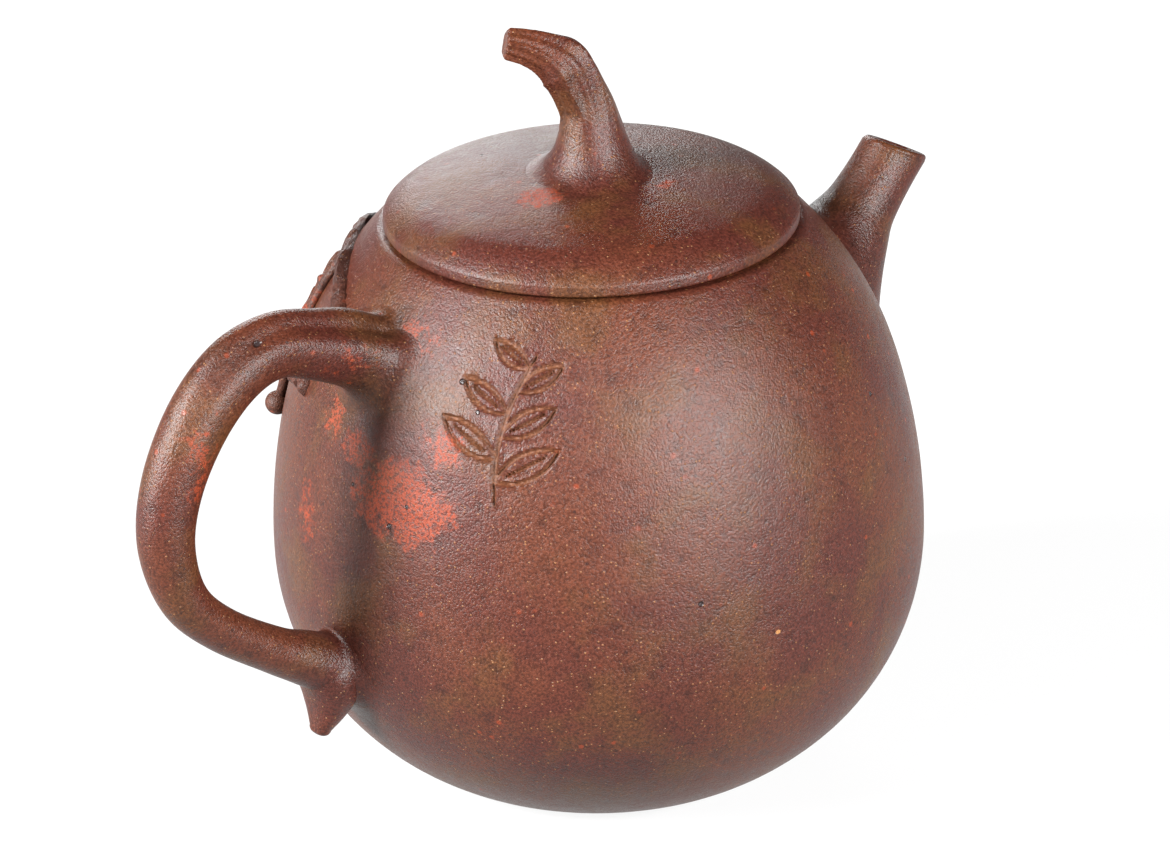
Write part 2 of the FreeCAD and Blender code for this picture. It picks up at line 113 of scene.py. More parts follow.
class Tree:
    """A node tree, for a material or for geometry, that one method fills."""

    def __init__(self, tree: bpy.types.NodeTree) -> None:
        """Wrap an empty node tree."""
        self.tree = tree

    def add(self, kind: str, settings: dict[str, Any] | None = None,
            sockets: dict[Any, Any] | None = None) -> bpy.types.Node:
        """Add a node.

        Args:
            kind: The node's type.
            settings: Properties that are set first; "stops" holds a ramp's stops.
            sockets: Values or links for its inputs, by name or index.

        Returns:
            The new node.
        """
        node = self.tree.nodes.new(kind)
        for name, value in (settings or {}).items():
            if name == "stops":
                self._set_stops(node, value)
            else:
                setattr(node, name, value)
        for key, value in (sockets or {}).items():
            self.feed(node.inputs[key], value)
        return node

    @staticmethod
    def _set_stops(node: bpy.types.Node, stops: Sequence[tuple[float, Sequence[float]]]) -> None:
        """Give a colour ramp its stops."""
        elements = node.color_ramp.elements
        while len(elements) < len(stops):
            elements.new(0.5)
        for element, (place, colour) in zip(elements, stops):
            element.position = place
            element.color = (*colour, 1.0)

    def feed(self, socket: bpy.types.NodeSocket, value: Any) -> None:
        """Link a wrapped or bare socket to an input, or set the input's own value."""
        if isinstance(value, Val):
            value = value.socket
        if isinstance(value, bpy.types.NodeSocket):
            self.tree.links.new(value, socket)
        else:
            socket.default_value = value

    def val(self, kind: str, output: Any = 0, settings: dict[str, Any] | None = None,
            sockets: dict[Any, Any] | None = None) -> Val:
        """Add a node and wrap one of its outputs."""
        return Val(self, self.add(kind, settings, sockets).outputs[output])

    def math(self, operation: str, *values: Any, clamp: bool = False) -> Val:
        """Add a Math node on values or wrapped sockets."""
        settings = {"operation": operation, "use_clamp": clamp}
        return self.val("ShaderNodeMath", 0, settings, dict(enumerate(values)))

    def vector(self, operation: str, *values: Any) -> Val:
        """Add a Vector Math node and wrap its vector."""
        return self.val("ShaderNodeVectorMath", "Vector", {"operation": operation}, dict(enumerate(values)))

    def scale(self, a: Any, factor: Any) -> Val:
        """A vector times a number."""
        return self.val("ShaderNodeVectorMath", "Vector", {"operation": "SCALE"}, {0: a, "Scale": factor})

    def step(self, value: Any, low: float, high: float) -> Val:
        """A smooth step: 0 up to low and 1 from high on, or the other way round."""
        settings = {"interpolation_type": "SMOOTHSTEP"}
        sockets = {"Value": value, "From Min": min(low, high), "From Max": max(low, high),
                   "To Min": 0.0 if low < high else 1.0, "To Max": 1.0 if low < high else 0.0}
        return self.val("ShaderNodeMapRange", "Result", settings, sockets)

    def tint(self, factor: Any, a: Any, b: Any, blend: str = "MIX") -> Val:
        """A Mix node on colours."""
        settings = {"data_type": "RGBA", "blend_type": blend}
        return self.val("ShaderNodeMix", 2, settings, {0: factor, 6: _colour(a), 7: _colour(b)})


def _colour(value: Any) -> Any:
    """A colour with its alpha, or a link as it is."""
    return (*value, 1.0) if isinstance(value, tuple) and len(value) == 3 else value


# ---- finishes ----


@dataclass(frozen=True)
class Spot:
    """A round or oval mark on the clay, in millimetres.

    centre is its middle, size its half extents, and strength how fully it covers.
    """

    centre: Triple
    size: Triple
    strength: float = 1.0


@dataclass(frozen=True)
class Clay:
    """Unglazed stoneware: mottled ground, sand, flashing, iron spots, fine grain, and patches of painted
    shade.
    """

    name: str
    ground: Triple = (0.0360, 0.0094, 0.0041)
    olive: Triple = (0.0360, 0.0133, 0.0042)
    plum: Triple = (0.0275, 0.0060, 0.0037)
    dark: Triple = (0.011, 0.0034, 0.0024)
    sand: Triple = (0.17, 0.078, 0.027)
    orange: Triple = (0.112, 0.0160, 0.0038)
    cut: Triple = (0.075, 0.028, 0.0115)
    iron: Triple = (0.012, 0.008, 0.008)
    roughness: float = 0.385
    specular: float = 0.18
    grain_height: float = 0.16
    fleck_share: float = 0.035
    flashes: tuple[Spot, ...] = ()
    # shades holds patches darkened as painted shade.
    shades: tuple[Spot, ...] = ()
    pits: tuple[Spot, ...] = ()
    grains: tuple[Spot, ...] = ()

    def build(self) -> Material:
        """Make the material.

        Returns:
            The material, whose patterns all read Object coordinates.
        """
        material = bpy.data.materials.new(self.name)
        material.use_nodes = True
        material.node_tree.nodes.clear()
        tree = Tree(material.node_tree)
        place = tree.scale(tree.val("ShaderNodeTexCoord", "Object"), 1.0 / MM)
        cloud = self._noise(tree, place, 0.042, 3.0)
        drift = self._noise(tree, place, 0.11, 4.0, offset=31.0)
        mottle = self._noise(tree, place, 0.42, 4.0, offset=7.0)
        grain = self._noise(tree, place, 2.9, 3.0)
        tooth = self._noise(tree, place, 4.6, 2.0, offset=3.0)

        colour = tree.tint(tree.step(cloud, 0.38, 0.62), self.ground, self.plum)
        colour = tree.tint(tree.step(drift, 0.46, 0.68) * 0.75, colour, self.olive)
        colour = tree.tint(tree.step(mottle, 0.44, 0.30) * 0.45, colour, self.dark)
        # Painted shade: the patches in self.shades darken the colour.
        colour = self._paint_shade(tree, place, colour, mottle)
        speckle = tree.step(grain, 0.30, 0.72)
        shades = ((0.0, (0.60, 0.57, 0.56)), (0.5, (1.0, 1.0, 1.0)), (1.0, (1.42, 1.38, 1.30)))
        ramp = tree.val("ShaderNodeValToRGB", 0, {"stops": shades}, {0: speckle})
        colour = tree.tint(1.0, colour, ramp, "MULTIPLY")
        colour, sandy = self._sanded(tree, place, colour)
        colour, flashed = self._flashed(tree, place, colour, mottle, grain)
        colour, pitted = self._pitted(tree, place, colour)
        cut = tree.val("ShaderNodeAttribute", "Fac", {"attribute_name": "cut"})
        colour = tree.tint(cut * (0.35 + speckle * 0.65), colour, self.cut)

        rough = self.roughness + (grain - 0.5) * 0.34 + (mottle - 0.5) * 0.16
        rough = rough + flashed * 0.10 + cut * 0.20 + sandy * 0.12
        rough = tree.math("MINIMUM", rough - pitted * 0.22, 0.95)
        height = grain * 0.62 + tooth * 0.48 + mottle * 0.75 + drift * 1.2
        height = height + sandy * 0.35 - pitted * 2.2 - flashed * 0.15
        bump = tree.val("ShaderNodeBump", 0, None,
                        {"Strength": 1.0, "Distance": self.grain_height * MM, "Height": height})
        shader = tree.add("ShaderNodeBsdfPrincipled", None, {
            "Base Color": colour, "Roughness": rough, "Normal": bump,
            "Specular IOR Level": self.specular, "IOR": 1.5})
        tree.add("ShaderNodeOutputMaterial", None, {"Surface": shader.outputs[0]})
        return material

    @staticmethod
    def _noise(tree: Tree, place: Val, scale: float, detail: float, offset: float = 0.0) -> Val:
        """Noise whose scale is in waves per millimetre."""
        moved = tree.vector("ADD", place, (offset, offset * 0.7, offset * 1.3)) if offset else place
        return tree.val("ShaderNodeTexNoise", 0, None,
                        {"Vector": moved, "Scale": scale, "Detail": detail, "Roughness": 0.55})

    @staticmethod
    def _dots(tree: Tree, place: Val, scale: float, channel: int, size: Point, pick: Point) -> Val:
        """Round dots in some of a pattern's cells.

        Args:
            tree: The material's tree.
            place: The place in millimetres.
            scale: How many cells there are to a millimetre.
            channel: The channel of the cells' colour that chooses among them.
            size: Where a dot ends and where it is full, as distances from its middle.
            pick: Where the choice starts and where it is full.

        Returns:
            Where a dot shows.
        """
        sockets = {"Vector": place, "Scale": scale, "Randomness": 1.0}
        cells = tree.add("ShaderNodeTexVoronoi", None, sockets)
        lot = tree.val("ShaderNodeSeparateColor", channel, None, {0: cells.outputs["Color"]})
        return tree.step(cells.outputs["Distance"], *size) * tree.step(lot, *pick)

    @staticmethod
    def _most(tree: Tree, shares: Iterable[Val]) -> Val | float:
        """The largest of some shares, or 0 where there are none."""
        most = 0.0
        for share in shares:
            most = tree.math("MAXIMUM", most, share)
        return most

    @staticmethod
    def _reach(tree: Tree, place: Val, spot: Spot) -> Val:
        """How far a place is from a mark, as a share of the mark's size."""
        shares = tuple(1.0 / s for s in spot.size)
        apart = tree.vector("MULTIPLY", tree.vector("SUBTRACT", place, spot.centre), shares)
        return tree.val("ShaderNodeVectorMath", "Value", {"operation": "LENGTH"}, {0: apart})

    def _paint_shade(self, tree: Tree, place: Val, colour: Val, mottle: Val) -> Val:
        """Darken the clay in the given patches, as painted shade."""
        for spot in self.shades:
            painted_shade = tree.step(self._reach(tree, place, spot) + (mottle - 0.5) * 0.9, 1.0, 0.1)
            colour = tree.tint(painted_shade * spot.strength, colour, self.dark)
        return colour

    def _sanded(self, tree: Tree, place: Val, colour: Val) -> tuple[Val, Val]:
        """Scatter pale sand, small orange flecks and black dots.

        Returns:
            The colour, and where a grain shows.
        """
        sandy = self._dots(tree, place, 2.3, 0, (0.36, 0.18), (0.86, 0.92))
        colour = tree.tint(sandy * 0.42, colour, self.sand)
        fleck = self._dots(tree, place, 0.72, 1, (0.34, 0.14), (1.0 - self.fleck_share, 1.0))
        colour = tree.tint(fleck * 0.6, colour, self.orange)
        black = self._dots(tree, place, 0.95, 2, (0.26, 0.14), (0.93, 0.95))
        colour = tree.tint(black * 0.8, colour, self.dark)
        return colour, sandy

    def _flashed(self, tree: Tree, place: Val, colour: Val, mottle: Val,
                 grain: Val) -> tuple[Val, Val | float]:
        """Lay the orange patches that the flame left, with ragged edges.

        Returns:
            The colour, and where a patch shows.
        """
        if not self.flashes:
            return colour, 0.0
        ragged = self._noise(tree, place, 0.95, 5.0, offset=17.0)
        cover = self._most(tree, [tree.step(self._reach(tree, place, spot), 1.0, 0.15) * spot.strength
                                  for spot in self.flashes])
        patch = tree.step(cover * 0.85 + (ragged - 0.5) * 1.3 + (mottle - 0.5) * 0.8, 0.32, 0.66)
        patch = patch * (0.16 + tree.step(grain, 0.42, 0.56) * 0.74)
        return tree.tint(patch, colour, self.orange), patch

    def _pitted(self, tree: Tree, place: Val, colour: Val) -> tuple[Val, Val | float]:
        """Set iron spots, melted dark and glossy, and a few pale grains.

        Returns:
            The colour, and where an iron spot shows.
        """
        for spot in self.grains:
            colour = tree.tint(tree.step(self._reach(tree, place, spot), 1.0, 0.55), colour, self.sand)
        holes = self._most(tree, [tree.step(self._reach(tree, place, spot), 1.0, 0.6) for spot in self.pits])
        return tree.tint(holes, colour, self.iron), holes


@dataclass(frozen=True)
class PaleFloor:
    """The plain floor under the pot."""

    colour: Triple = (0.09, 0.09, 0.09)
    roughness: float = 0.9
    glow: float = 0.79

    def build(self) -> Material:
        """Make the floor's material."""
        material = bpy.data.materials.new("pale_floor")
        material.use_nodes = True
        shader = material.node_tree.nodes["Principled BSDF"]
        shader.inputs["Base Color"].default_value = (*self.colour, 1.0)
        shader.inputs["Roughness"].default_value = self.roughness
        shader.inputs["Specular IOR Level"].default_value = 0.1
        shader.inputs["Emission Color"].default_value = (1.0, 1.0, 1.0, 1.0)
        shader.inputs["Emission Strength"].default_value = self.glow
        return material


# ---- forms of revolution ----


@dataclass(frozen=True)
class Arc:
    """An arc of a round form's outline, up to a height, in millimetres."""

    radius: float
    centre: Point
    top: float


def tangent_arc(start: Point, normal: Point, finish: Point, top: float) -> Arc:
    """The arc from start, with this outward normal there, to finish."""
    run = (finish[0] - start[0], finish[1] - start[1])
    facing = -2.0 * (run[0] * normal[0] + run[1] * normal[1])
    radius = (run[0] ** 2 + run[1] ** 2) / facing
    return Arc(radius, (start[0] - radius * normal[0], start[1] - radius * normal[1]), top)


class RoundForm:
    """A form turned about the Z axis, whose outline is a few arcs one above the other."""

    def __init__(self, arcs: Sequence[Arc]) -> None:
        """Keep the arcs, lowest first."""
        self.arcs = list(arcs)

    def _pick(self, heights: Array) -> Array:
        """The rows (arc radius, centre radius, centre height) that hold at these heights."""
        index = np.searchsorted([arc.top for arc in self.arcs[:-1]], heights, side="right")
        rows = np.array([(arc.radius, *arc.centre) for arc in self.arcs])
        return rows[index]

    def outline(self, heights: Array, lift: float = 0.0) -> Array:
        """Points (radius, height) of the outline, lifted along its normal."""
        heights = np.asarray(heights, float)
        row = self._pick(heights)
        rise = (heights - row[..., 2]) / row[..., 0]
        level = np.sqrt(np.clip(1.0 - rise ** 2, 0.0, 1.0))
        radius = row[..., 1] + (row[..., 0] + lift) * level
        return np.stack([radius, row[..., 2] + (row[..., 0] + lift) * rise], axis=-1)

    def point(self, azimuth: float, height: float, lift: float = 0.0) -> Array:
        """The point at an azimuth in degrees and a height, lifted along the normal."""
        radius, level = self.outline(np.array(height), lift)
        turn = math.radians(azimuth)
        return np.array([radius * math.cos(turn), radius * math.sin(turn), level])

    def directions(self, azimuth: float, point: Array) -> tuple[Array, Array, Array]:
        """Directions sideways, up the wall and out of it, at a point of an azimuth."""
        _, normal = self.settle(point[None])
        turn = math.radians(azimuth)
        side = np.array([-math.sin(turn), math.cos(turn), 0.0])
        return side, np.cross(normal[0], side), normal[0]

    def settle(self, points: Array, lift: float = 0.0) -> tuple[Array, Array]:
        """Bring points to the form's surface.

        Args:
            points: Rows of x, y and z.
            lift: How far off the surface they end.

        Returns:
            The points on the surface, and the outward normals there.
        """
        radius = np.hypot(points[..., 0], points[..., 1])
        heights = points[..., 2]
        for _ in range(2):
            row = self._pick(heights)
            across = radius - row[..., 1]
            up = points[..., 2] - row[..., 2]
            length = np.hypot(across, up)
            heights = row[..., 2] + row[..., 0] * up / length
        level, rise = across / length, up / length
        turn = np.arctan2(points[..., 1], points[..., 0])
        normal = np.stack([level * np.cos(turn), level * np.sin(turn), rise], axis=-1)
        foot = row[..., 1] + row[..., 0] * level
        base = np.stack([foot * np.cos(turn), foot * np.sin(turn), heights], axis=-1)
        return base + normal * lift, normal


def fillet(before: Point, corner: Point, after: Point, radius: float, steps: int = 5) -> list[Point]:
    """Points that round a corner of an outline.

    Args:
        before: The point before the corner.
        corner: The corner.
        after: The point after it.
        radius: How far along each side the rounding starts.
        steps: How many spans it has.

    Returns:
        The rounding's points, from the side of before to the side of after.
    """
    middle = np.array(corner, float)
    ends = []
    for side in (before, after):
        run = np.array(side, float) - middle
        ends.append(middle + run * (radius / np.linalg.norm(run)))
    share = np.linspace(0.0, 1.0, steps + 1)[:, None]
    curve = ends[0] * (1 - share) ** 2 + 2 * middle * share * (1 - share) + ends[1] * share ** 2
    return [tuple(p) for p in curve]


# ---- making pieces ----


def spline(rows: Sequence[Sequence[float]], count: int) -> Array:
    """A smooth curve through rows of numbers, evenly spaced along its first three columns."""
    knots = np.array(rows, float)
    padded = np.vstack([2 * knots[0] - knots[1], knots, 2 * knots[-1] - knots[-2]])
    share = np.linspace(0.0, 1.0, 24, endpoint=False)[:, None]
    spans = []
    for a, b, c, d in zip(padded, padded[1:], padded[2:], padded[3:]):
        spans.append(0.5 * (2 * b + (c - a) * share + (2 * a - 5 * b + 4 * c - d) * share ** 2
                            + (3 * b - a - 3 * c + d) * share ** 3))
    fine = np.vstack([*spans, knots[-1:]])
    run = np.concatenate([[0.0], np.cumsum(np.linalg.norm(np.diff(fine[:, :3], axis=0), axis=1))])
    places = np.linspace(0.0, run[-1], count)
    return np.column_stack([np.interp(places, run, column) for column in fine.T])


def unit(vectors: Array) -> Array:
    """Vectors scaled to length 1."""
    return vectors / np.linalg.norm(vectors, axis=-1, keepdims=True)


def smooth_step(values: Array, low: float, high: float) -> Array:
    """0 up to low, 1 from high on, and smooth between; low may be the larger."""
    share = np.clip((values - low) / (high - low), 0.0, 1.0)
    return share * share * (3.0 - 2.0 * share)


def placed(name: str, data: Any) -> Object:
    """A new object in the scene that holds this data."""
    made = bpy.data.objects.new(name, data)
    bpy.context.scene.collection.objects.link(made)
    return made


class Bench:
    """Makes pieces: meshes from rings, turned forms, holes, and the finish of each.

    uneven is how far, in millimetres, the hand leaves a piece out of true, and wave how
    wide that unevenness is. An edge shows from the angle sharp, in degrees.
    """

    uneven = 0.30
    wave = 21.0
    seed = 4.0
    sharp = 42.0

    def __init__(self) -> None:
        """Build the node trees that the pieces share."""
        self.lathe = self._lathe_tree()
        self.hand = self._hand_tree()
        self.coil = self._coil_tree()

    @staticmethod
    def _open_tree(name: str, inputs: Sequence[tuple[str, str]]) -> tuple[Tree, bpy.types.Node]:
        """A geometry tree with named inputs.

        Returns:
            The tree, and its group input node.
        """
        group = bpy.data.node_groups.new(name, "GeometryNodeTree")
        group.interface.new_socket("Geometry", in_out="INPUT", socket_type="NodeSocketGeometry")
        for label, kind in inputs:
            group.interface.new_socket(label, in_out="INPUT", socket_type=f"NodeSocket{kind}")
        group.interface.new_socket("Geometry", in_out="OUTPUT", socket_type="NodeSocketGeometry")
        tree = Tree(group)
        return tree, tree.add("NodeGroupInput")

    @staticmethod
    def _close_tree(tree: Tree, shape: Any, clay: Any) -> bpy.types.NodeTree:
        """End a tree in Realize Instances and Set Material."""
        solid = tree.val("GeometryNodeRealizeInstances", 0, None, {0: shape})
        dressed = tree.val("GeometryNodeSetMaterial", 0, None, {"Geometry": solid, "Material": clay})
        tree.add("NodeGroupOutput", None, {0: dressed})
        return tree.tree

    def _lathe_tree(self) -> bpy.types.NodeTree:
        """Turns an outline, whose points hold radius and height, about the Z axis."""
        tree, given = self._open_tree("lathe", (
            ("Sides", "Int"), ("Fine Start", "Float"), ("Fine Span", "Float"),
            ("Fine Share", "Float"), ("Clay", "Material")))
        outline = given.outputs["Geometry"]
        sides = Val(tree, given.outputs["Sides"])
        rings = tree.val("GeometryNodeAttributeDomainSize", "Point Count", None, {0: outline})
        grid = tree.add("GeometryNodeMeshGrid", None, {"Vertices X": rings, "Vertices Y": sides + 1.0})
        index = tree.val("GeometryNodeInputIndex")
        ring = tree.math("FLOOR", (index + 0.5) / (sides + 1.0))
        share = (index - ring * (sides + 1.0)) / sides
        fine = Val(tree, given.outputs["Fine Share"])
        span = Val(tree, given.outputs["Fine Span"])
        in_fine = tree.math("ADD", share / fine, 0.0, clamp=True)
        beyond = tree.math("ADD", (share - fine) / (1.0 - fine), 0.0, clamp=True)
        turn = Val(tree, given.outputs["Fine Start"]) + in_fine * span + beyond * (TURN - span)
        corner = tree.val("GeometryNodeSampleIndex", 0, {"data_type": "FLOAT_VECTOR"}, {
            "Geometry": outline, "Value": tree.val("GeometryNodeInputPosition"), "Index": ring})
        parts = tree.add("ShaderNodeSeparateXYZ", None, {0: corner})
        radius = Val(tree, parts.outputs[0])
        place = tree.val("ShaderNodeCombineXYZ", 0, None, {
            0: radius * tree.math("COSINE", turn), 1: radius * tree.math("SINE", turn),
            2: parts.outputs[2]})
        turned = tree.val("GeometryNodeSetPosition", 0, None,
                          {"Geometry": grid.outputs[0], "Position": place})
        merged = tree.val("GeometryNodeMergeByDistance", 0, None, {"Geometry": turned, "Distance": 2e-6})
        smooth = tree.val("GeometryNodeSetShadeSmooth", 0, None, {"Geometry": merged})
        return self._close_tree(tree, smooth, given.outputs["Clay"])

    def _hand_tree(self) -> bpy.types.NodeTree:
        """Leaves the clay a little uneven, the same way wherever two pieces meet."""
        tree, given = self._open_tree("hand_work", (
            ("Amount", "Float"), ("Wave", "Float"), ("Seed", "Float"), ("Clay", "Material")))
        amount = Val(tree, given.outputs["Amount"])
        place = tree.val("GeometryNodeInputPosition")
        height = tree.val("ShaderNodeSeparateXYZ", 2, None, {0: place})
        noise = tree.val("ShaderNodeTexNoise", "Fac", {"noise_dimensions": "4D"}, {
            "Vector": place, "W": given.outputs["Seed"],
            "Scale": 1.0 / Val(tree, given.outputs["Wave"]), "Detail": 1.5})
        away = tree.vector("NORMALIZE", tree.vector("SUBTRACT", place, (0.0, 0.0, 35.0 * MM)))
        push = (noise - 0.5) * amount * tree.step(height, 1.0 * MM, 9.0 * MM)
        moved = tree.val("GeometryNodeSetPosition", 0, None,
                         {"Geometry": given.outputs[0], "Offset": tree.scale(away, push)})
        return self._close_tree(tree, moved, given.outputs["Clay"])

    def _coil_tree(self) -> bpy.types.NodeTree:
        """Rolls a coil along a curve, with its own radii and knots."""
        tree, given = self._open_tree("coil", (
            ("Sides", "Int"), ("Knots", "Float"), ("Wave", "Float"), ("Clay", "Material")))
        ring = tree.add("GeometryNodeCurvePrimitiveCircle", None,
                        {"Resolution": given.outputs["Sides"], "Radius": 1.0})
        sweep = tree.add("GeometryNodeCurveToMesh", None, {
            "Curve": given.outputs["Geometry"], "Profile Curve": ring.outputs[0], "Fill Caps": True})
        if "Scale" in sweep.inputs:
            tree.feed(sweep.inputs["Scale"], tree.val("GeometryNodeInputRadius"))
        place = tree.val("GeometryNodeInputPosition")
        noise = tree.val("ShaderNodeTexNoise", "Fac", None, {
            "Vector": place, "Scale": 1.0 / Val(tree, given.outputs["Wave"]), "Detail": 3.0})
        normal = tree.val("GeometryNodeInputNormal")
        knots = tree.scale(normal, (noise - 0.5) * given.outputs["Knots"])
        moved = tree.val("GeometryNodeSetPosition", 0, None, {"Geometry": sweep.outputs[0], "Offset": knots})
        smooth = tree.val("GeometryNodeSetShadeSmooth", 0, None, {"Geometry": moved})
        return self._close_tree(tree, smooth, given.outputs["Clay"])

    @staticmethod
    def attach(piece: Object, tree: bpy.types.NodeTree, values: dict[str, Any]) -> None:
        """Put a geometry tree on a piece, with these values for its inputs."""
        modifier = piece.modifiers.new(tree.name, "NODES")
        modifier.node_group = tree
        for item in tree.interface.items_tree:
            if item.in_out == "INPUT" and item.name in values:
                modifier[item.identifier] = values[item.name]

    @staticmethod
    def result(piece: Object) -> bpy.types.Mesh:
        """The mesh that a piece's modifiers make."""
        piece.update_tag()
        bpy.context.view_layer.update()
        shown = piece.evaluated_get(bpy.context.evaluated_depsgraph_get())
        return bpy.data.meshes.new_from_object(shown)

    @staticmethod
    def settle_modifiers(piece: Object) -> None:
        """Turn what the modifiers make into the piece's own mesh, and drop them."""
        mesh = Bench.result(piece)
        piece.modifiers.clear()
        piece.data = mesh

    def run(self, piece: Object, tree: bpy.types.NodeTree, values: dict[str, Any]) -> None:
        """Apply a geometry tree to a piece, and leave it a plain mesh."""
        self.attach(piece, tree, values)
        self.settle_modifiers(piece)

    @staticmethod
    def piece(name: str, points: Iterable, faces: Sequence = (),
              edges: Sequence = ()) -> Object:
        """A mesh object from points in millimetres."""
        mesh = bpy.data.meshes.new(name)
        mesh.from_pydata([tuple(float(c) * MM for c in p) for p in points], edges, faces)
        return placed(name, mesh)

    def turned(self, name: str, outline: Sequence[Point], clay: Material, sides: int,
               fine: Triple = (0.0, 90.0, 0.25)) -> Object:
        """A form turned from an outline.

        Args:
            name: The piece's name.
            outline: Points of radius and height; a closed outline repeats its first point.
            clay: Its material.
            sides: How many columns go round it.
            fine: Where the columns stand closer: from, over, in degrees, and their share.

        Returns:
            The piece.
        """
        edges = [(i, i + 1) for i in range(len(outline) - 1)]
        made = self.piece(name, [(r, 0.0, z) for r, z in outline], edges=edges)
        self.run(made, self.lathe, {
            "Sides": sides, "Fine Start": math.radians(fine[0]), "Fine Span": math.radians(fine[1]),
            "Fine Share": fine[2], "Clay": clay})
        return made

    def skinned(self, name: str, rings: Array, joined: bool = False) -> Object:
        """A closed mesh over rings of points.

        Args:
            name: The piece's name.
            rings: An array of rings, points and coordinates.
            joined: Whether the last ring goes on to the first; if not, both ends are capped.

        Returns:
            The piece.
        """
        count, around = rings.shape[:2]
        points = list(rings.reshape(-1, 3))
        faces = []
        for i in range(count if joined else count - 1):
            here, there = i * around, ((i + 1) % count) * around
            for j in range(around):
                k = (j + 1) % around
                faces.append((here + j, here + k, there + k, there + j))
        if not joined:
            for first, ring in ((0, rings[0]), ((count - 1) * around, rings[-1])):
                points.append(ring.mean(axis=0))
                hub = len(points) - 1
                faces += [(hub, first + j, first + (j + 1) % around) for j in range(around)]
        return self.piece(name, points, faces)

    @staticmethod
    def pierce(piece: Object, centre: Array, axis: Array, radius: float,
               length: float) -> None:
        """Drill a straight hole through a piece, in millimetres."""
        mesh = bpy.data.meshes.new("drill")
        drill = bmesh.new()
        bmesh.ops.create_cone(drill, cap_ends=True, segments=48, radius1=radius * MM,
                              radius2=radius * MM, depth=length * MM)
        drill.to_mesh(mesh)
        drill.free()
        spin = Vector(axis).to_track_quat("Z", "Y").to_matrix().to_4x4()
        mesh.transform(Matrix.Translation(Vector(centre) * MM) @ spin)
        tool = placed("drill", mesh)
        modifier = piece.modifiers.new("hole", "BOOLEAN")
        modifier.operation = "DIFFERENCE"
        modifier.solver = "EXACT"
        modifier.object = tool
        Bench.settle_modifiers(piece)
        bpy.data.objects.remove(tool)

    def finish(self, piece: Object, clay: Material, part: Part, slot: Slot,
               node: str) -> None:
        """Work a piece by hand, dress it, and hang it on its CAD body.

        Args:
            piece: The mesh object.
            clay: Its material.
            part: The body it rides on.
            slot: The record's slot; not used.
            node: The CAD node it stands for.
        """
        self.run(piece, self.hand, {
            "Amount": self.uneven * MM, "Wave": self.wave * MM, "Seed": self.seed, "Clay": clay})
        shape = bmesh.new()
        shape.from_mesh(piece.data)
        bmesh.ops.remove_doubles(shape, verts=shape.verts, dist=1e-7)
        bmesh.ops.recalc_face_normals(shape, faces=shape.faces)
        if shape.calc_volume(signed=True) < 0.0:
            bmesh.ops.reverse_faces(shape, faces=shape.faces)
        shape.to_mesh(piece.data)
        shape.free()
        piece.data.materials.clear()
        piece.data.materials.append(clay)
        piece.data.shade_smooth()
        piece.data.set_sharp_from_angle(angle=math.radians(self.sharp))
        piece.data.name = piece.name
        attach(piece, part.value)
        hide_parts(node)
        log.info("%s: %d faces on %s", piece.name, len(piece.data.polygons), part.value)


# ---- the pot ----


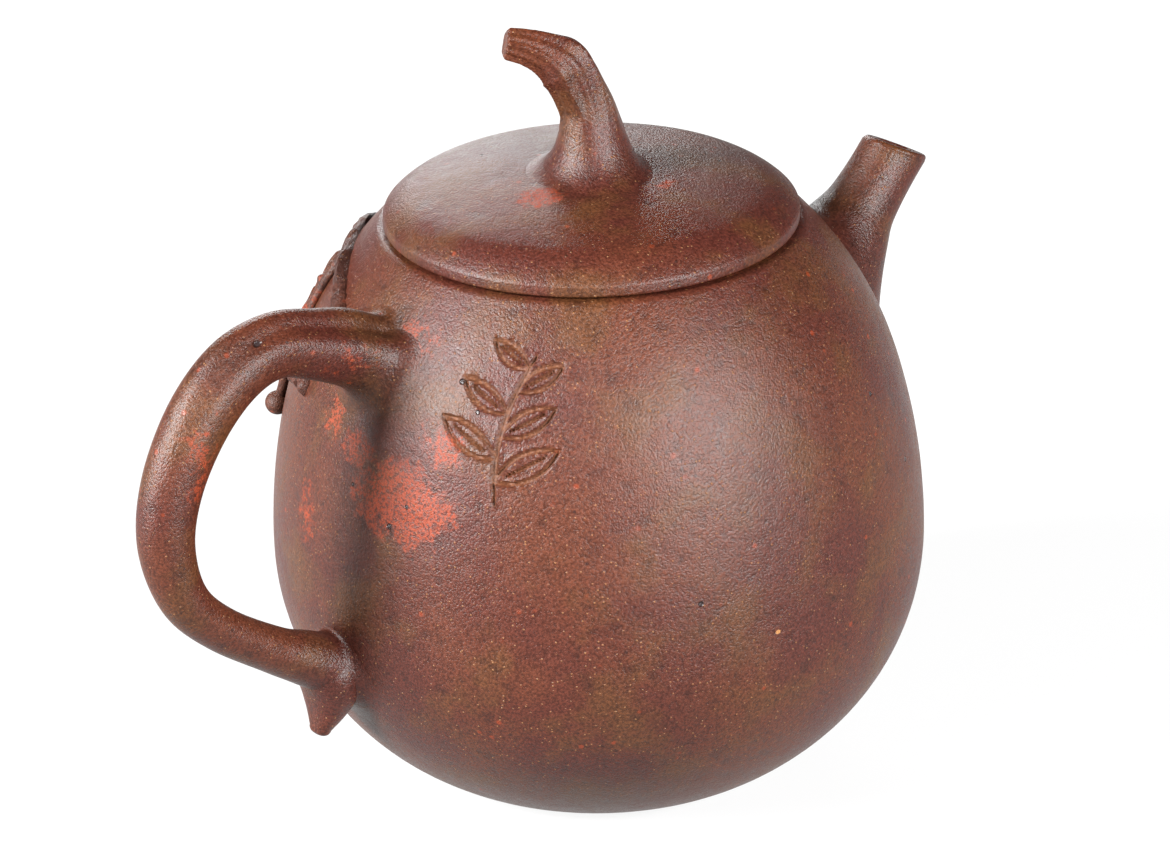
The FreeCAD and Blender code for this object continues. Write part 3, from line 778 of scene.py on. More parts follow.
@dataclass
class Vessel:
    """The pot's round wall in four pieces, and the strainer inside; sizes in millimetres."""

    bench: Bench
    foot_radius: float = 18.6
    foot_ring: float = 14.4
    foot_hollow: float = 13.2
    foot_lift: float = 0.35
    belly_height: float = 31.5
    side_arc: float = 81.0
    shoulder_height: float = 55.7
    mouth_radius: float = 27.0
    land_radius: float = 24.0
    wall: float = 2.8
    bore_radius: float = 21.6
    throat_radius: float = 5.0
    throat_elevation: float = 49.0
    throat_height: float = 57.0
    sprig_azimuth: float = 217.5
    sprig_height: float = 61.5
    sprig_stretch: float = 1.12
    sprig_half: Point = (12.5, 13.0)
    cut_depth: float = 0.42
    burr_height: float = 0.16

    def __post_init__(self) -> None:
        """Take the overall sizes from the frame, and work out the wall's arcs."""
        self.belly_radius = -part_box("body_wall")[0].y / MM
        self.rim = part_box("mouth_ring")[1].z / MM
        self.ring_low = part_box("mouth_ring")[0].z / MM
        self.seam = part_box("shoulder_disc")[0].z / MM
        self.floor_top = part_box("base_disc")[1].z / MM
        lower = tangent_arc((self.belly_radius, self.belly_height), (1.0, 0.0),
                            (self.foot_radius, 0.0), self.belly_height)
        side = Arc(self.side_arc, (self.belly_radius - self.side_arc, self.belly_height),
                   self.shoulder_height)
        lift = math.asin((self.shoulder_height - self.belly_height) / self.side_arc)
        normal = (math.cos(lift), math.sin(lift))
        shoulder = (side.centre[0] + self.side_arc * normal[0], self.shoulder_height)
        top = tangent_arc(shoulder, normal, (self.mouth_radius, self.rim), self.rim)
        self.form = RoundForm([lower, side, top])

    def _heights(self, low: float, high: float) -> Array:
        """Heights between two, close together where the sprig is cut."""
        coarse = np.arange(low, high, 0.9)
        fine = np.arange(self.sprig_height - 11.0, self.sprig_height + 11.0, 0.24)
        fine = fine[(fine > low + 0.1) & (fine < high - 0.1)]
        if len(fine):
            coarse = coarse[(coarse < fine[0] - 0.2) | (coarse > fine[-1] + 0.2)]
        return np.unique(np.concatenate([[low], coarse, fine, [high]]))

    def _band(self, low: float, high: float) -> list[Point]:
        """The closed outline of a band of the wall between two heights."""
        outer = [tuple(p) for p in self.form.outline(self._heights(low, high))]
        level = np.linspace(high, low, max(6, int((high - low) / 1.5)))
        inner = [(self._inner_radius(z), z) for z in level]
        return [*outer, *inner, outer[0]]

    def _inner_radius(self, height: float) -> float:
        """The radius of the wall's inner side at a height."""
        trial = np.linspace(0.0, self.rim, 400)
        inside = self.form.outline(trial, -self.wall)
        return float(np.interp(height, inside[:, 1], inside[:, 0]))

    def build(self, clay: Material, inner_clay: Material) -> None:
        """Make the wall's pieces, cut the sprig, and dress the strainer.

        Args:
            clay: The wall's material.
            inner_clay: The strainer's material.
        """
        bench = self.bench
        hub, hollow = (0.0, self.foot_lift), (self.foot_hollow, self.foot_lift)
        ring, foot = (self.foot_ring, 0.0), (self.foot_radius, 0.0)
        base = [hub, *fillet(hub, hollow, ring, 0.8), *fillet(hollow, ring, foot, 0.6),
                *fillet(ring, foot, tuple(self.form.outline(np.array(1.5))), 0.9)]
        base += [tuple(p) for p in self.form.outline(np.linspace(1.0, self.floor_top, 5))]
        base += [(self._inner_radius(self.floor_top), self.floor_top), (0.0, self.floor_top)]
        disc = bench.turned("base_disc_clay", base, clay, sides=160)
        bench.finish(disc, clay, Part.POT, Slot.POT, "base_disc")

        columns = {"sides": 250, "fine": (self.sprig_azimuth - 17.0, 34.0, 0.42)}
        wall = bench.turned("body_wall_clay", self._band(self.floor_top, self.seam), clay, **columns)
        self._carve(wall)
        lean = math.radians(self.throat_elevation)
        axis = np.array([math.cos(lean), 0.0, math.sin(lean)])
        bench.pierce(wall, self.form.point(0.0, self.throat_height), axis, self.throat_radius, 24.0)
        bench.finish(wall, clay, Part.POT, Slot.POT, "body_wall")

        shoulder = bench.turned("shoulder_clay", self._band(self.seam, self.ring_low), clay, **columns)
        self._carve(shoulder)
        bench.finish(shoulder, clay, Part.POT, Slot.POT, "shoulder_disc")

        side = [tuple(p) for p in self.form.outline(np.linspace(self.ring_low, self.rim - 0.6, 9))]
        land = (self.land_radius, self.rim)
        edge = fillet(side[-1], (self.mouth_radius + 0.05, self.rim), land, 0.6)
        bore = fillet(land, (self.bore_radius, self.rim), (self.bore_radius, 73.0), 0.35)
        outline = [*side, *edge, land, *bore, (self.bore_radius, self.ring_low), side[0]]
        mouth = bench.turned("mouth_ring_clay", outline, clay, **columns)
        bench.finish(mouth, clay, Part.POT, Slot.POT, "mouth_ring")

        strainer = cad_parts["strainer"]
        strainer.data.materials.clear()
        strainer.data.materials.append(inner_clay)

    # -- the incised sprig --

    def _strokes(self) -> list[tuple[Array, float]]:
        """The sprig's strokes.

        Returns:
            For each stroke its points, across and up from the sprig's middle, and its width.
        """
        share = np.linspace(0.0, 1.0, 14)[:, None]

        def bent(a: Sequence[float], b: Sequence[float], bow: float) -> Array:
            """A stroke from a to b that bows to its left."""
            start, end = np.array(a), np.array(b)
            across = np.array([-(end - start)[1], (end - start)[0]])
            return start + (end - start) * share + across * bow * 4.0 * share * (1.0 - share)

        strokes = [(bent((-2.2, -9.8), (1.4, 8.8), 0.08), 0.46)]
        spine = strokes[0][0]
        for i, (place, side) in enumerate(((2, 1), (4, -1), (6, 1), (8, -1), (10, 1), (12, -1))):
            foot = spine[place]
            length = 9.4 - 0.75 * i
            run = np.array([side * length * 0.84, length * 0.50])
            strokes.append((bent(foot, foot + run, 0.17 * side), 0.40))
            strokes.append((bent(foot, foot + run, -0.19 * side), 0.36))
            strokes.append((bent(foot + run * 0.2, foot + run * 0.8, 0.0), 0.27))
        return strokes

    def _carve(self, piece: Object) -> None:
        """Cut the sprig into a piece of the wall, and mark the cut in an attribute."""
        count = len(piece.data.vertices)
        flat = np.empty(count * 3)
        piece.data.vertices.foreach_get("co", flat)
        points = flat.reshape(-1, 3) / MM
        settled, normals = self.form.settle(points)
        outside = np.linalg.norm(points - settled, axis=1) < 0.05
        turn = np.degrees(np.arctan2(points[:, 1], points[:, 0])) % 360.0 - self.sprig_azimuth
        across = np.radians(turn) * np.hypot(points[:, 0], points[:, 1])
        place = np.column_stack([across, (points[:, 2] - self.sprig_height) * self.sprig_stretch])
        nearby = outside & np.all(np.abs(place) < self.sprig_half, axis=1)
        depth = np.zeros(count)
        for stroke, width in self._strokes():
            taper = np.sin(np.linspace(0.35, math.pi - 0.25, len(stroke))) ** 0.6
            for a, b, thick in zip(stroke, stroke[1:], width * taper):
                run = b - a
                along = np.clip(((place[nearby] - a) @ run) / (run @ run), 0.0, 1.0)
                apart = np.linalg.norm(place[nearby] - a - along[:, None] * run, axis=1)
                cut = np.clip(1.0 - (apart / thick) ** 2, 0.0, 1.0)
                burr = self.burr_height * np.exp(-((apart - thick * 1.35) / (thick * 0.4)) ** 2)
                depth[nearby] = np.where(cut > 0.0, np.maximum(depth[nearby], cut),
                                         np.where(depth[nearby] > 0.0, depth[nearby],
                                                  np.minimum(depth[nearby], -burr)))
        cut = np.clip(depth, 0.0, 1.0)
        points -= normals * (cut * self.cut_depth + np.minimum(depth, 0.0) * 0.6)[:, None]
        piece.data.vertices.foreach_set("co", (points * MM).ravel())
        mark = piece.data.attributes.new("cut", "FLOAT", "POINT")
        mark.data.foreach_set("value", cut.astype(np.float32))


# ---- limbs that grow out of a round form ----


@dataclass
class Limb:
    """A rolled limb whose root flares into a round form; sizes in millimetres."""

    form: RoundForm
    side: Array
    around: int = 72

    @property
    def angles(self) -> Array:
        """The angles of a ring's points."""
        return np.linspace(0.0, TURN, self.around, endpoint=False)

    def rings(self, route: Array, shape: Callable[[Array, Array], Array]) -> Array:
        """Rings of points along a route.

        Args:
            route: Rows of x, y, z and radius.
            shape: The share of the radius at a share of the length and an angle.

        Returns:
            An array of rings, points and coordinates.
        """
        tangent = unit(np.gradient(route[:, :3], axis=0))
        across = np.cross(self.side, tangent)
        angle = self.angles
        share = np.linspace(0.0, 1.0, len(route))
        radius = route[:, 3:4] * shape(share[:, None], angle[None, :])
        out = np.cos(angle)[None, :, None] * self.side + np.sin(angle)[None, :, None] * across[:, None, :]
        return route[:, None, :3] + radius[:, :, None] * out

    def flare(self, ring: Array, before: Array, root: Array, reach: Array,
              stiff: tuple[float, float] = (0.62, 0.42), steps: int = 16) -> Array:
        """Rings that lead from a ring of the limb out onto the form.

        Args:
            ring: The limb's last ring of points.
            before: The ring before it, from which the flare takes its start.
            root: The point where its middle line meets the form.
            reach: How far from the root each point ends.
            stiff: How strongly the flare keeps to the limb and to the form.
            steps: How many rings it has.

        Returns:
            The rings, the first of which lies one step beyond the ring given.
        """
        _, facing = self.form.settle(root[None, :])
        spread = ring - ring.mean(axis=0)
        spread = unit(spread - (spread @ facing[0])[:, None] * facing)
        landed, normal = self.form.settle(root + spread * reach[:, None], -0.06)
        slope = unit(spread - np.sum(spread * normal, axis=1, keepdims=True) * normal)
        gap = np.linalg.norm(landed - ring, axis=1, keepdims=True)
        first = ring + unit(ring - before) * gap * stiff[0]
        second = landed - slope * gap * stiff[1]
        share = np.linspace(0.0, 1.0, steps + 1)[1:, None, None]
        return (ring * (1 - share) ** 3 + 3 * first * share * (1 - share) ** 2
                + 3 * second * share ** 2 * (1 - share) + landed * share ** 3)

    def buried(self, ring: Array, depth: float, shrink: float) -> Array:
        """The ring taken into the form's wall and drawn in towards its middle."""
        middle = ring.mean(axis=0)
        sunk, _ = self.form.settle(middle + (ring - middle) * shrink, -depth)
        return sunk[None, :, :]

    @staticmethod
    def blunt(ring: Array, heading: Array, soft: float) -> Array:
        """Rings that round a limb's cut end over."""
        middle = ring.mean(axis=0)
        size = np.linalg.norm(ring - middle, axis=1).mean()
        made = []
        for angle in np.linspace(0.0, math.pi / 2, 6)[1:]:
            share = 1.0 - (1.0 - math.cos(angle)) * soft / size
            made.append(middle + (ring - middle) * share + heading * soft * math.sin(angle))
        made.append(middle + (ring - middle) * 0.5 + heading * soft * 0.82)
        return np.array(made)


@dataclass
class Handle:
    """The coil handle with the crease along it, and the thorn under its lower root."""

    bench: Bench
    form: RoundForm
    clay: Material
    lower_height: float = 23.5
    upper_height: float = 66.2
    crease_angle: float = 1.0
    crease_depth: float = 0.30
    lower_clear: float = 5.2
    upper_clear: float = 6.4
    root_depth: float = 1.3
    root_shrink: float = 0.8

    def _bow(self) -> Array:
        """The handle's middle line and radii, from the lower root to the upper."""
        low = self.form.point(180.0, self.lower_height)
        high = self.form.point(180.0, self.upper_height)
        bends = ((-46.2, 27.4, 3.75), (-50.8, 30.1, 3.1), (-58.7, 35.7, 2.9), (-63.7, 41.5, 3.05),
                 (-65.6, 49.3, 3.45), (-64.1, 57.0, 3.75), (-59.9, 64.4, 4.0), (-54.5, 69.3, 4.1),
                 (-48.7, 70.9, 4.0), (-43.0, 69.5, 4.25))
        rows = [(low[0], 0.0, low[2], 5.0)]
        rows += [(x, 0.0, z, radius) for x, z, radius in bends]
        rows.append((high[0], 0.0, high[2], 5.2))
        return spline(rows, 132)

    def _section(self, share: Array, angle: Array) -> Array:
        """The handle's section: a little oval, with a crease that fades from the upper root."""
        crease = self.crease_depth * smooth_step(share, 0.55, 0.98)
        width = 0.46 - 0.08 * share
        turn = np.angle(np.exp(1j * (angle - self.crease_angle + 0.35 * (1.0 - share))))
        oval = 1.0 + 0.025 * np.cos(2.0 * angle + 4.0 * share) + 0.012 * np.sin(9.0 * share + angle)
        ridge = 0.05 * smooth_step(share, 0.6, 1.0) * np.exp(-((turn - 0.85) / 0.4) ** 2)
        return oval - crease * np.exp(-(turn / width) ** 2) + ridge

    def build(self) -> None:
        """Make the handle and the thorn."""
        limb = Limb(self.form, np.array([0.0, -1.0, 0.0]))
        line = self._bow()
        rings = limb.rings(line, self._section)
        angle = limb.angles
        low_cut = self._clear(line, self.lower_clear)
        high_cut = self._clear(line[::-1], self.upper_clear)
        body = rings[low_cut:len(line) - high_cut]
        low_reach = 8.2 + 0.8 * np.sin(angle)
        high_reach = 9.6 - 3.2 * np.maximum(np.sin(angle), 0.0) - 1.6 * np.exp(
            -(np.angle(np.exp(1j * (angle - self.crease_angle))) / 0.38) ** 2)
        low = limb.flare(body[0], body[1], line[0, :3], low_reach)
        high = limb.flare(body[-1], body[-2], line[-1, :3], high_reach)
        sunk = [limb.buried(end[-1], self.root_depth, self.root_shrink) for end in (low, high)]
        whole = np.concatenate([sunk[0], low[::-1], body, high, sunk[1]])
        handle = self.bench.skinned("handle_coil", whole)
        self.bench.finish(handle, self.clay, Part.POT, Slot.COIL, "handle")
        self._thorn()

    def _clear(self, line: Array, lift: float) -> int:
        """The index from which a line stands this far off the form."""
        settled, _ = self.form.settle(line[:, :3])
        return int(np.argmax(np.linalg.norm(line[:, :3] - settled, axis=1) > lift))

    def _thorn(self) -> None:
        """The thorn: broad where it leaves the root, and blunt at its tip."""
        limb = Limb(self.form, np.array([0.0, -1.0, 0.0]), around=48)
        root = self.form.point(180.0, 25.2)
        rows = [(root[0] - 1.6, 0.0, root[2] + 2.6, 3.4), (root[0] - 1.2, 0.0, root[2] + 0.2, 4.3),
                (root[0] - 1.2, 0.0, root[2] - 2.6, 4.1), (root[0] - 1.9, 0.0, root[2] - 5.4, 2.9),
                (root[0] - 3.0, 0.0, root[2] - 8.1, 1.45)]
        line = spline(rows, 40)

        def section(share: Array, angle: Array) -> Array:
            """Flattened against the wall, with a soft keel."""
            return 1.0 + 0.08 * np.cos(2.0 * angle) + 0.06 * np.cos(3.0 * angle + 1.2) * share

        rings = limb.rings(line, section)
        end = unit(line[-1, :3] - line[-2, :3])
        whole = np.concatenate([rings, limb.blunt(rings[-1], end, 0.9)])
        thorn = self.bench.skinned("handle_thorn", whole)
        self.bench.finish(thorn, self.clay, Part.POT, Slot.COIL, "handle_spur")


@dataclass
class Spout:
    """The short straight spout; sizes in millimetres."""

    bench: Bench
    form: RoundForm
    clay: Material
    root_height: float = 57.0
    elevation: float = 49.0
    cut_elevation: float = 63.0
    length: float = 19.5
    tip_radius: float = 4.3
    bore_radius: float = 2.5
    bore_length: float = 6.0
    throat_radius: float = 5.0
    lip: float = 0.55

    def build(self) -> None:
        """Make the spout, with its rounded lip and its bore."""
        limb = Limb(self.form, np.array([0.0, -1.0, 0.0]))
        lean = math.radians(self.elevation)
        axis = np.array([math.cos(lean), 0.0, math.sin(lean)])
        root = self.form.point(0.0, self.root_height)
        stations = ((7.4, 5.6), (9.8, 4.8), (12.6, 4.45), (16.0, 4.3), (self.length, self.tip_radius))
        line = spline([(*(root + axis * s), r) for s, r in stations], 34)
        rings = limb.rings(line, lambda share, angle: 1.0 + 0.02 * np.cos(2.0 * angle + 1.0 + share))
        angle = limb.angles
        upper = np.cross(limb.side, axis)
        out = np.cos(angle)[:, None] * limb.side + np.sin(angle)[:, None] * upper
        tilt = math.tan(math.radians(self.cut_elevation - self.elevation))

        def tipped(radius: float, back: float) -> Array:
            """A ring round the axis, parallel to the cut and this far behind it."""
            along = self.length - back - radius * np.sin(angle) * tilt
            return root + axis * along[:, None] + out * radius

        share = np.linspace(0.0, 1.0, len(rings))[:, None, None] ** 2.2
        shear = -(np.sin(angle) * tilt * self.tip_radius)[None, :, None] * axis * share
        rings = rings + shear
        reach = 15.0 - 3.2 * np.sin(angle) - 3.4 * np.cos(2.0 * angle)
        low = limb.flare(rings[0], rings[1], root, reach, (0.30, 0.30), steps=20)
        outer = [tipped(self.tip_radius - self.lip * (1 - math.cos(a)), self.lip * (1 - math.sin(a)))
                 for a in np.linspace(0.0, math.pi / 2, 6)]
        inner = [tipped(self.bore_radius + self.lip * (1 - math.sin(a)), self.lip * (1 - math.cos(a)))
                 for a in np.linspace(0.0, math.pi / 2, 6)]
        bore = [tipped(self.bore_radius, back) for back in (1.4, 3.0, 4.5, self.bore_length)]
        bore_start = self.length - self.bore_length + 0.1
        throat = []
        for along in (10.5, 7.0, 3.5):
            widening = (self.throat_radius - self.bore_radius) * (bore_start - along) / bore_start
            throat.append(root + axis * along + out * (self.bore_radius + widening))
        mouth, _ = self.form.settle(root + out * self.throat_radius, -0.5)
        whole = np.concatenate([low[::-1], rings[:-2], np.array(outer), np.array(inner), np.array(bore),
                                np.array(throat), mouth[None], limb.buried(low[-1], 0.6, 0.97)])
        spout = self.bench.skinned("spout_tube", whole, joined=True)
        self.bench.finish(spout, self.clay, Part.POT, Slot.COIL, "spout")


# ---- the lid ----


@dataclass
class Lid:
    """The lid's dome, its thin lip, the flange under it and the bent stem; in millimetres."""

    bench: Bench
    clay: Material
    stem_clay: Material
    inner_clay: Material
    brow_radius: float = 21.0
    brow_rise: float = 3.1
    hollow_radius: float = 19.5
    plate_bore: float = 17.0
    wall: float = 2.2
    air_hole_radius: float = 0.9
    air_hole_offset: float = 10.5
    air_hole_azimuth: float = 53.0
    stem_azimuth: float = 150.0
    flange_wall: float = 2.1
    columns: int = 220

    def __post_init__(self) -> None:
        """Take the overall sizes from the frame, and work out the dome's arcs."""
        self.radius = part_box("lid_plate")[1].x / MM
        self.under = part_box("lid_plate")[0].z / MM
        self.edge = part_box("lid_plate")[1].z / MM
        self.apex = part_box("lid_dome")[1].z / MM
        brow = (self.brow_radius, self.edge + self.brow_rise)
        drop = self.apex - brow[1]
        self.crown_radius = (brow[0] ** 2 + drop ** 2) / (2 * drop)
        crown = Arc(self.crown_radius, (0.0, self.apex - self.crown_radius), self.apex)
        normal = (brow[0] / self.crown_radius, (brow[1] - crown.centre[1]) / self.crown_radius)
        shoulder = tangent_arc(brow, normal, (self.radius, self.edge), brow[1])
        self.form = RoundForm([shoulder, crown])

    def _dome_outline(self) -> tuple[list[Point], Point]:
        """The dome's outer side from the apex to the middle of the lip's rounding."""
        heights = np.concatenate([
            self.apex - np.linspace(0.0, 1.0, 46) ** 2 * (self.apex - self.edge - self.brow_rise),
            np.linspace(self.edge + self.brow_rise, self.edge + 0.35, 18)[1:]])
        outer = [tuple(p) for p in self.form.outline(heights)]
        outer[0] = (0.0, self.apex)
        lip = fillet(outer[-1], (self.radius, self.edge - 0.05), (self.radius, self.under), 0.42, 8)
        return [*outer, *lip[:4]], lip[4]

    def build(self) -> None:
        """Make the lid's four pieces."""
        bench = self.bench
        outer, split = self._dome_outline()
        inside = self.crown_radius - self.wall
        centre = self.apex - self.crown_radius
        low = centre + math.sqrt(inside ** 2 - self.hollow_radius ** 2)
        hollow = [(inside * math.sin(a), centre + inside * math.cos(a))
                  for a in np.linspace(math.asin(self.hollow_radius / inside), 0.0, 22)]
        hollow[-1] = (0.0, self.apex - self.wall)
        dome = bench.turned("lid_dome_clay", [*outer, split, (self.hollow_radius, self.edge),
                                             (self.hollow_radius, low - 0.5), *hollow],
                            self.clay, sides=self.columns)
        turn = math.radians(self.air_hole_azimuth)
        hole = np.array([math.cos(turn) * self.air_hole_offset, math.sin(turn) * self.air_hole_offset, 80.0])
        bench.pierce(dome, hole, np.array([0.0, 0.0, 1.0]), self.air_hole_radius, 12.0)
        bench.finish(dome, self.clay, Part.LID, Slot.LID, "lid_dome")

        lip = [split, (self.radius - 0.02, self.edge - 0.45)]
        lip += fillet(lip[-1], (self.radius, self.under), (25.0, self.under), 0.4, 5)
        plate = [*lip, (23.0, self.under), (self.plate_bore, self.under), (self.plate_bore, self.edge),
                 (self.hollow_radius, self.edge), split]
        rim = bench.turned("lid_plate_clay", plate, self.clay, sides=self.columns)
        bench.finish(rim, self.clay, Part.LID, Slot.LID, "lid_plate")

        low_corner, high_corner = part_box("lid_flange")
        flange = high_corner.x / MM
        foot = low_corner.z / MM
        bore = flange - self.flange_wall
        heel, toe = (flange, foot), (bore, foot)
        ring = [(flange, self.under), *fillet((flange, self.under), heel, toe, 0.6),
                *fillet(heel, toe, (bore, self.under), 0.6), (bore, self.under)]
        skirt = bench.turned("lid_flange_clay", [*ring, ring[0]], self.inner_clay, sides=160)
        bench.finish(skirt, self.inner_clay, Part.CARRIER, Slot.INNER, "lid_flange")
        self._stem()

    def _stem(self) -> None:
        """The gourd stem: ridged, bent over, and cut off square."""
        turn = math.radians(self.stem_azimuth)
        lean = np.array([math.cos(turn), math.sin(turn), 0.0])
        limb = Limb(self.form, np.array([lean[1], -lean[0], 0.0]), around=120)
        bends = ((-0.3, 3.7, 4.75), (-0.25, 5.6, 4.1), (0.0, 7.9, 3.45), (0.7, 10.0, 3.2), (1.8, 12.3, 3.25),
                 (3.2, 14.3, 3.35), (5.4, 15.7, 2.6), (7.7, 16.6, 2.15), (9.9, 17.15, 1.9))
        rows = [(lean[0] * out, lean[1] * out, self.apex + up, radius) for out, up, radius in bends]
        line = spline(rows, 84)

        def section(share: Array, angle: Array) -> Array:
            """Five ridges that twist, with two fine ones between them."""
            twist = angle + 0.9 * share
            ridges = 0.085 * (1.0 - np.abs(np.sin(2.5 * twist + 0.3 * np.sin(9.0 * share)))) ** 1.5
            fine = 0.026 * np.cos(11.0 * twist + 0.8 + 2.0 * share) + 0.02 * np.sin(7.0 * share + angle)
            return 0.96 + (2.0 * ridges + fine) * smooth_step(share, 0.02, 0.32)

        rings = limb.rings(line, section)
        heading = unit(np.gradient(line[:, :3], axis=0))
        angle = limb.angles
        root = np.array([0.0, 0.0, self.apex])
        reach = 9.0 + 0.5 * np.cos(2.0 * angle + 0.6) + 0.3 * np.sin(3.0 * angle)
        low = limb.flare(rings[0], rings[1], root, reach, (0.30, 0.42), steps=22)
        whole = np.concatenate([limb.buried(low[-1], 0.9, 0.85), low[::-1], rings,
                                limb.blunt(rings[-1], heading[-1], 0.45)])
        stem = self.bench.skinned("lid_stem_clay", whole)
        self.bench.finish(stem, self.stem_clay, Part.LID, Slot.COIL, "lid_stem")


# ---- the applied vine ----


@dataclass
class Vine:
    """The applied vine: stem, stalk, tendril, leaves, bud and gourd; in millimetres."""

    bench: Bench
    form: RoundForm
    clay: Material
    rim: float
    leaf_length: float = 13.0
    leaf_lift: float = 1.35
    bud_radius: float = 1.6
    gourd_radius: float = 3.4
    knot_wave: float = 1.9

    def _route(self, *places: Triple) -> list[Array]:
        """Points over the wall, from (azimuth, drop below the rim, lift off the wall)."""
        return [self.form.point(azimuth, self.rim - drop, lift) for azimuth, drop, lift in places]

    def _coil(self, name: str, route: list[Array], radii: Sequence[float], knots: float,
              node: str, sides: int = 14) -> None:
        """Roll a coil along a route, with radii at its points."""
        rows = [(*p, r) for p, r in zip(route, radii)]
        line = spline(rows, max(24, 9 * len(rows)))
        data = bpy.data.curves.new(name, "CURVE")
        data.dimensions = "3D"
        path = data.splines.new("POLY")
        path.points.add(len(line) - 1)
        for point, row in zip(path.points, line):
            point.co = (*(row[:3] * MM), 1.0)
            point.radius = row[3] * MM
        piece = placed(name, data)
        self.bench.attach(piece, self.bench.coil, {
            "Sides": sides, "Knots": knots * MM, "Wave": self.knot_wave * MM, "Clay": self.clay})
        mesh = self.bench.result(piece)
        bpy.data.objects.remove(piece)
        rolled = placed(name, mesh)
        self.bench.finish(rolled, self.clay, Part.POT, Slot.RELIEF, node)

    def build(self) -> None:
        """Make every piece of the vine."""
        stem = self._route((163, 8.4, -0.1), (149, 5.4, -0.25), (134, 4.4, -0.25), (118, 5.2, 0.1),
                           (106, 9.4, 0.4), (98.5, 17.7, 0.5), (96.5, 26.8, 0.8))
        self._coil("vine_stem", stem, (1.3, 1.35, 1.25, 1.1, 1.0, 0.9, 0.75), 1.9, "vine")
        stalk = self._route((141, 4.8, 0.3), (140, 10.7, 0.35), (139.5, 18.7, 0.35), (137.2, 25.3, 0.8))
        self._coil("bud_stalk_coil", stalk, (0.75, 0.65, 0.6, 0.7), 0.5, "bud_stalk", 12)
        tendril = self._route((113, 7.6, 0.3), (115, 13.7, 0.3), (113.5, 21.7, 0.35), (108, 24.2, 0.35),
                              (106, 20.2, 0.35), (109.5, 18.2, 0.35))
        self._coil("tendril_coil", tendril, (0.7, 0.62, 0.56, 0.5, 0.45, 0.38), 0.3, "tendril", 12)
        self._fruit("gourd_bud_clay", (137, 26.7), ((0.0, -1.0), (0.55, -0.84), (0.92, -0.4), (1.0, 0.05),
                    (0.86, 0.5), (0.5, 0.86), (0.22, 0.98), (0.0, 0.94)), self.bud_radius, 0.62, "gourd_bud")
        self._fruit("gourd_clay", (96, 32.7), ((0.0, -1.02), (0.3, -0.97), (0.75, -0.68), (0.98, -0.15),
                    (0.93, 0.3), (0.66, 0.72), (0.5, 0.98), (0.56, 1.3), (0.56, 1.6), (0.36, 1.86),
                    (0.13, 1.98), (0.0, 2.0)), self.gourd_radius, 0.42, "gourd")
        leaves = ((129.5, 12.2, 40.0, 0.95), (156.0, 15.0, 100.0, 0.75), (87.0, 14.2, -30.0, 1.0))
        for i, (azimuth, drop, spin, size) in enumerate(leaves, start=1):
            self._leaf(f"leaf_{i}_clay", azimuth, self.rim - drop, spin, size * self.leaf_length, f"leaf_{i}")

    def _fruit(self, name: str, place: tuple[float, float], outline: Sequence[Point], radius: float,
               lift: float, node: str) -> None:
        """A small fruit turned from an outline and pressed onto the wall, stem end up."""
        rows = spline([(r, z, 0.0) for r, z in outline], 44)
        points = [(max(r, 0.0) * radius, z * radius) for r, z in rows[:, :2]]
        points[0] = (0.0, points[0][1])
        points[-1] = (0.0, points[-1][1])
        fruit = self.bench.turned(name, points, self.clay, sides=48)
        azimuth, drop = place
        centre = self.form.point(azimuth, self.rim - drop, lift * radius)
        side, up, outward = self.form.directions(azimuth, centre)
        stand = Matrix((side, -outward, up)).transposed().to_4x4()
        fruit.data.transform(Matrix.Translation(Vector(centre) * MM) @ stand)
        self.bench.finish(fruit, self.clay, Part.POT, Slot.RELIEF, node)

    def _leaf(self, name: str, azimuth: float, height: float, spin: float, length: float,
              node: str) -> None:
        """A five-lobed leaf, veined and crumpled, pressed onto the wall."""
        around, across = 120, 18
        angle = np.linspace(0.0, TURN, around, endpoint=False)[:, None]
        out = (np.linspace(0.0, 1.0, across + 1)[1:] ** 0.85)[None, :]
        lobe = 0.84 + 0.15 * np.cos(5 * angle) + 0.035 * np.cos(15 * angle + 1.0) + 0.02 * np.sin(31 * angle)
        u = 0.5 * length * lobe * out * np.cos(angle)
        v = 0.46 * length * lobe * out * np.sin(angle)
        vein = np.exp(-(np.angle(np.exp(5j * angle)) / (0.75 - 0.25 * out)) ** 2) * out ** 0.3
        ribs = np.exp(-((np.abs(np.sin(2.5 * angle)) - 0.8 * out) / 0.12) ** 2) * 0.3
        crumple = 0.16 * np.sin(1.3 * u + 2.0) * np.cos(1.1 * v + 1.0)
        thick = self.leaf_lift * (0.52 + 0.30 * vein + 0.10 * ribs + crumple)
        thick = thick * smooth_step(out, 1.02, 0.82) + 0.12
        turn = math.radians(spin)
        middle = self.form.point(azimuth, height)
        side, up, outward = self.form.directions(azimuth, middle)
        x_axis = side * math.cos(turn) + up * math.sin(turn)
        y_axis = up * math.cos(turn) - side * math.sin(turn)
        flat = middle + u[..., None] * x_axis + v[..., None] * y_axis
        ground, facing = self.form.settle(flat)
        top = ground + facing * thick[..., None]
        under = ground - facing * 0.35
        rings = np.concatenate([np.swapaxes(top, 0, 1), np.swapaxes(under, 0, 1)[::-1]])
        leaf = self.bench.skinned(name, rings)
        hub = leaf.data.vertices[len(leaf.data.vertices) - 2]
        hub.co = Vector((middle + outward * self.leaf_lift * 0.62) * MM)
        self.bench.finish(leaf, self.clay, Part.POT, Slot.RELIEF, node)


# ---- the studio ----


